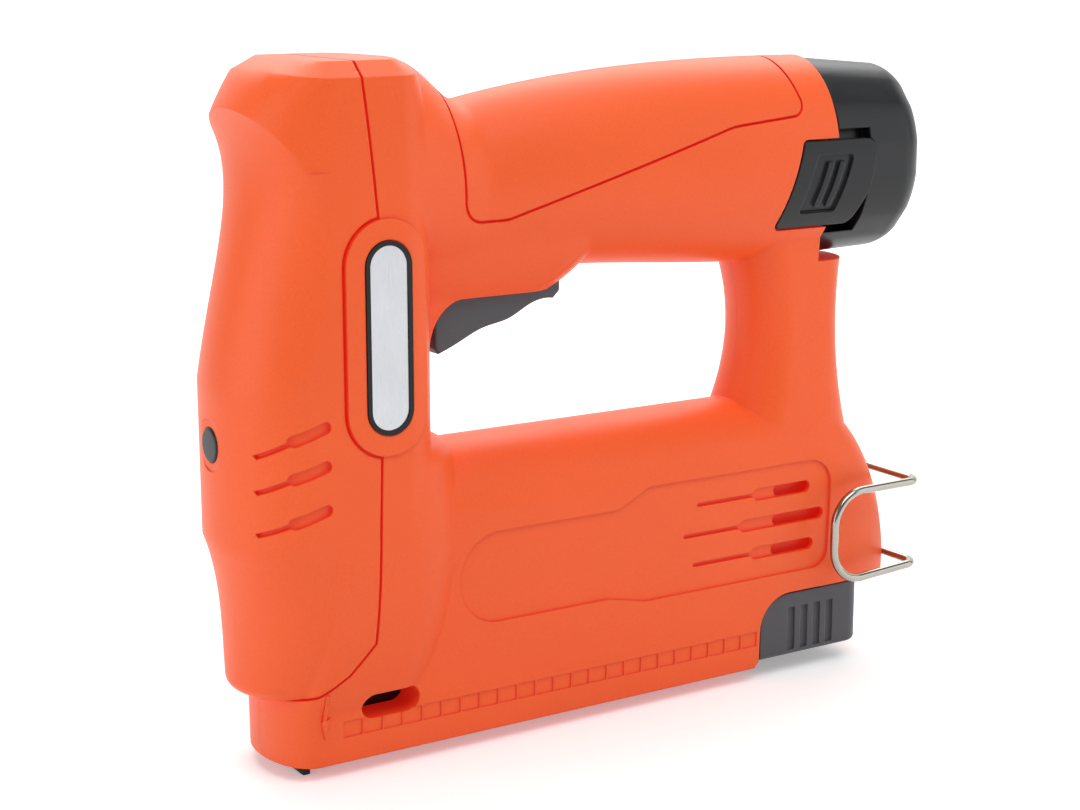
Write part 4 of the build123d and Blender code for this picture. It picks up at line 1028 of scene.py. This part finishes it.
class STAPLER_OT_stage(bpy.types.Operator):
    """Pale paper sweep, soft lamps, even room light and the camera"""

    bl_idname = "stapler.stage"
    bl_label = "Stage"

    def execute(self, context):
        scene = context.scene
        stage = scene.stapler_stage
        scene.view_settings.view_transform = "Standard"
        self.camera(scene, stage)
        self.sweep(scene, stage.azimuth)
        # Each softbox with its place, its width and height, and its power
        lamps = (
            ("key_softbox", (0.00, -0.80, 1.35), (1.1, 0.8), stage.key),
            ("side_softbox", (-1.15, 0.05, 0.40), (1.0, 0.9), stage.side),
            ("fill_softbox", (1.05, -0.75, 0.45), (0.8, 0.8), stage.fill),
            ("top_softbox", (0.35, 0.50, 1.10), (1.4, 1.2), stage.top),
        )
        for name, place, size, power in lamps:
            self.lamp(scene, name, place, size, power)
        self.air(scene, stage.air)
        return {"FINISHED"}

    def camera(self, scene, stage):
        """The photograph's camera."""
        data = bpy.data.cameras.new("photo_camera")
        data.lens = stage.lens
        data.sensor_width = 36
        data.sensor_fit = "HORIZONTAL"
        data.clip_start, data.clip_end = 0.01, 50
        lens = bpy.data.objects.new("photo_camera", data)
        scene.collection.objects.link(lens)
        flat = math.cos(stage.elevation)
        ahead = Vector(
            (flat * math.cos(stage.azimuth), flat * math.sin(stage.azimuth), math.sin(stage.elevation))
        )
        lens.location = stage.camera_place
        lens.rotation_euler = ahead.to_track_quat("-Z", "Y").to_euler()
        scene.camera = lens

    def sweep(self, scene, heading):
        """One sheet of paper: flat under the tool, turned up in a wide curve behind it."""
        reach = 6.0
        bend_start = 2.2
        bend_radius = 0.9
        bend_steps = 12
        wall_top = 5.0
        below_tool = 0.2 * MM
        profile = [(-reach, 0.0), (bend_start, 0.0)]
        for k in range(1, bend_steps + 1):
            turn = math.radians(90 * k / bend_steps)
            out, up = bend_radius * math.sin(turn), bend_radius * (1 - math.cos(turn))
            profile.append((bend_start + out, up))
        profile.append((bend_start + bend_radius, wall_top))
        away = Vector((math.cos(heading), math.sin(heading), 0))
        across = Vector((math.sin(heading), -math.cos(heading), 0))
        shell = bmesh.new()
        rows = []
        for side in (-reach, reach):
            edge = [away * far + across * side + Vector((0, 0, up - below_tool)) for far, up in profile]
            rows.append([shell.verts.new(point) for point in edge])
        for k in range(len(profile) - 1):
            shell.faces.new((rows[0][k], rows[0][k + 1], rows[1][k + 1], rows[1][k]))
        mesh = bpy.data.meshes.new("paper_sweep")
        bmesh.ops.recalc_face_normals(shell, faces=shell.faces)
        shell.to_mesh(mesh)
        shell.free()
        mesh.polygons.foreach_set("use_smooth", [True] * len(mesh.polygons))
        paper = bpy.data.objects.new("paper_sweep", mesh)
        scene.collection.objects.link(paper)
        mesh.materials.append(self.paper())

    def paper(self):
        """White studio paper: matt, and as white as the page behind the tool to the camera."""
        made, tree, surface, place = new_material("paper_white")
        surface.inputs["Base Color"].default_value = linear(colours().floor)
        surface.inputs["Roughness"].default_value = 0.9
        surface.inputs["Specular IOR Level"].default_value = 0.1
        path = add_node(tree, "ShaderNodeLightPath")
        seen = add_node(
            tree,
            "ShaderNodeMath",
            {"operation": "MAXIMUM"},
            {0: path.outputs["Is Camera Ray"], 1: path.outputs["Is Glossy Ray"]},
        )
        through = add_node(
            tree,
            "ShaderNodeMath",
            {"operation": "MAXIMUM"},
            {0: seen.outputs[0], 1: path.outputs["Is Transmission Ray"]},
        )
        # Paper far from the tool gets little of the lamps and is lifted more
        far = add_node(tree, "ShaderNodeVectorMath", {"operation": "LENGTH"}, {0: place})
        level = add_node(
            tree,
            "ShaderNodeMapRange",
            None,
            {
                "Value": far.outputs["Value"],
                "From Min": 0.4,
                "From Max": 1.6,
                "To Min": 0.30,
                "To Max": 0.95,
            },
        )
        lift = add_node(
            tree,
            "ShaderNodeMath",
            {"operation": "MULTIPLY"},
            {0: through.outputs[0], 1: level.outputs["Result"]},
        )
        surface.inputs["Emission Color"].default_value = (1.0, 1.0, 1.0, 1.0)
        tree.links.new(lift.outputs[0], surface.inputs["Emission Strength"])
        return made

    def lamp(self, scene, name, place, size, power):
        """A softbox turned to about the middle of the tool."""
        aim = Vector((0.10, 0.0, 0.10))
        data = bpy.data.lights.new(name, "AREA")
        data.shape = "RECTANGLE"
        data.size, data.size_y = size
        data.energy = power
        lamp = bpy.data.objects.new(name, data)
        scene.collection.objects.link(lamp)
        lamp.location = place
        lamp.rotation_euler = (aim - Vector(place)).to_track_quat("-Z", "Y").to_euler()

    def air(self, scene, strength):
        """Even light of the room, white to the camera."""
        world = bpy.data.worlds.new("studio_air")
        world.use_nodes = True
        scene.world = world
        tree = world.node_tree
        tree.nodes.clear()
        path = add_node(tree, "ShaderNodeLightPath")
        level = add_node(
            tree,
            "ShaderNodeMapRange",
            None,
            {"Value": path.outputs["Is Camera Ray"], "To Min": strength, "To Max": 1.0},
        )
        light = add_node(
            tree,
            "ShaderNodeBackground",
            None,
            {"Color": (1.0, 1.0, 1.0, 1.0), "Strength": level.outputs["Result"]},
        )
        add_node(tree, "ShaderNodeOutputWorld", None, {"Surface": light.outputs[0]})


class STAPLER_PT_panel(bpy.types.Panel):
    """The stapler's pieces and settings"""

    bl_label = "Stapler"
    bl_idname = "STAPLER_PT_panel"
    bl_space_type = "VIEW_3D"
    bl_region_type = "UI"
    bl_category = "Stapler"

    def draw(self, context):
        for operator in OPERATORS:
            self.layout.operator(operator.bl_idname)
        for name, group in GROUPS:
            box = self.layout.box()
            for key in group.__annotations__:
                box.prop(getattr(context.scene, name), key)


GROUPS = (
    ("stapler_colours", StaplerColours),
    ("stapler_sizes", StaplerSizes),
    ("stapler_stage", StaplerStage),
)
OPERATORS = (
    STAPLER_OT_stage,
    STAPLER_OT_body,
    STAPLER_OT_dark_mouldings,
    STAPLER_OT_badge,
    STAPLER_OT_metalwork,
    STAPLER_OT_screws,
    STAPLER_OT_staples,
    STAPLER_OT_arrow,
)


def register():
    """Registers the settings, the operators and the panel."""
    for name, group in GROUPS:
        bpy.utils.register_class(group)
        setattr(bpy.types.Scene, name, PointerProperty(type=group))
    for operator in OPERATORS:
        bpy.utils.register_class(operator)
    bpy.utils.register_class(STAPLER_PT_panel)


def unregister():
    """Takes back what register has added."""
    bpy.utils.unregister_class(STAPLER_PT_panel)
    for operator in reversed(OPERATORS):
        bpy.utils.unregister_class(operator)
    for name, group in reversed(GROUPS):
        delattr(bpy.types.Scene, name)
        bpy.utils.unregister_class(group)


def main():
    """Builds the scene."""
    register()
    bpy.ops.stapler.stage()
    bpy.ops.stapler.body()
    bpy.ops.stapler.dark_mouldings()
    bpy.ops.stapler.badge()
    bpy.ops.stapler.metalwork()
    bpy.ops.stapler.screws()
    bpy.ops.stapler.staples()
    bpy.ops.stapler.arrow()


if __name__ == "__main__":
    main()
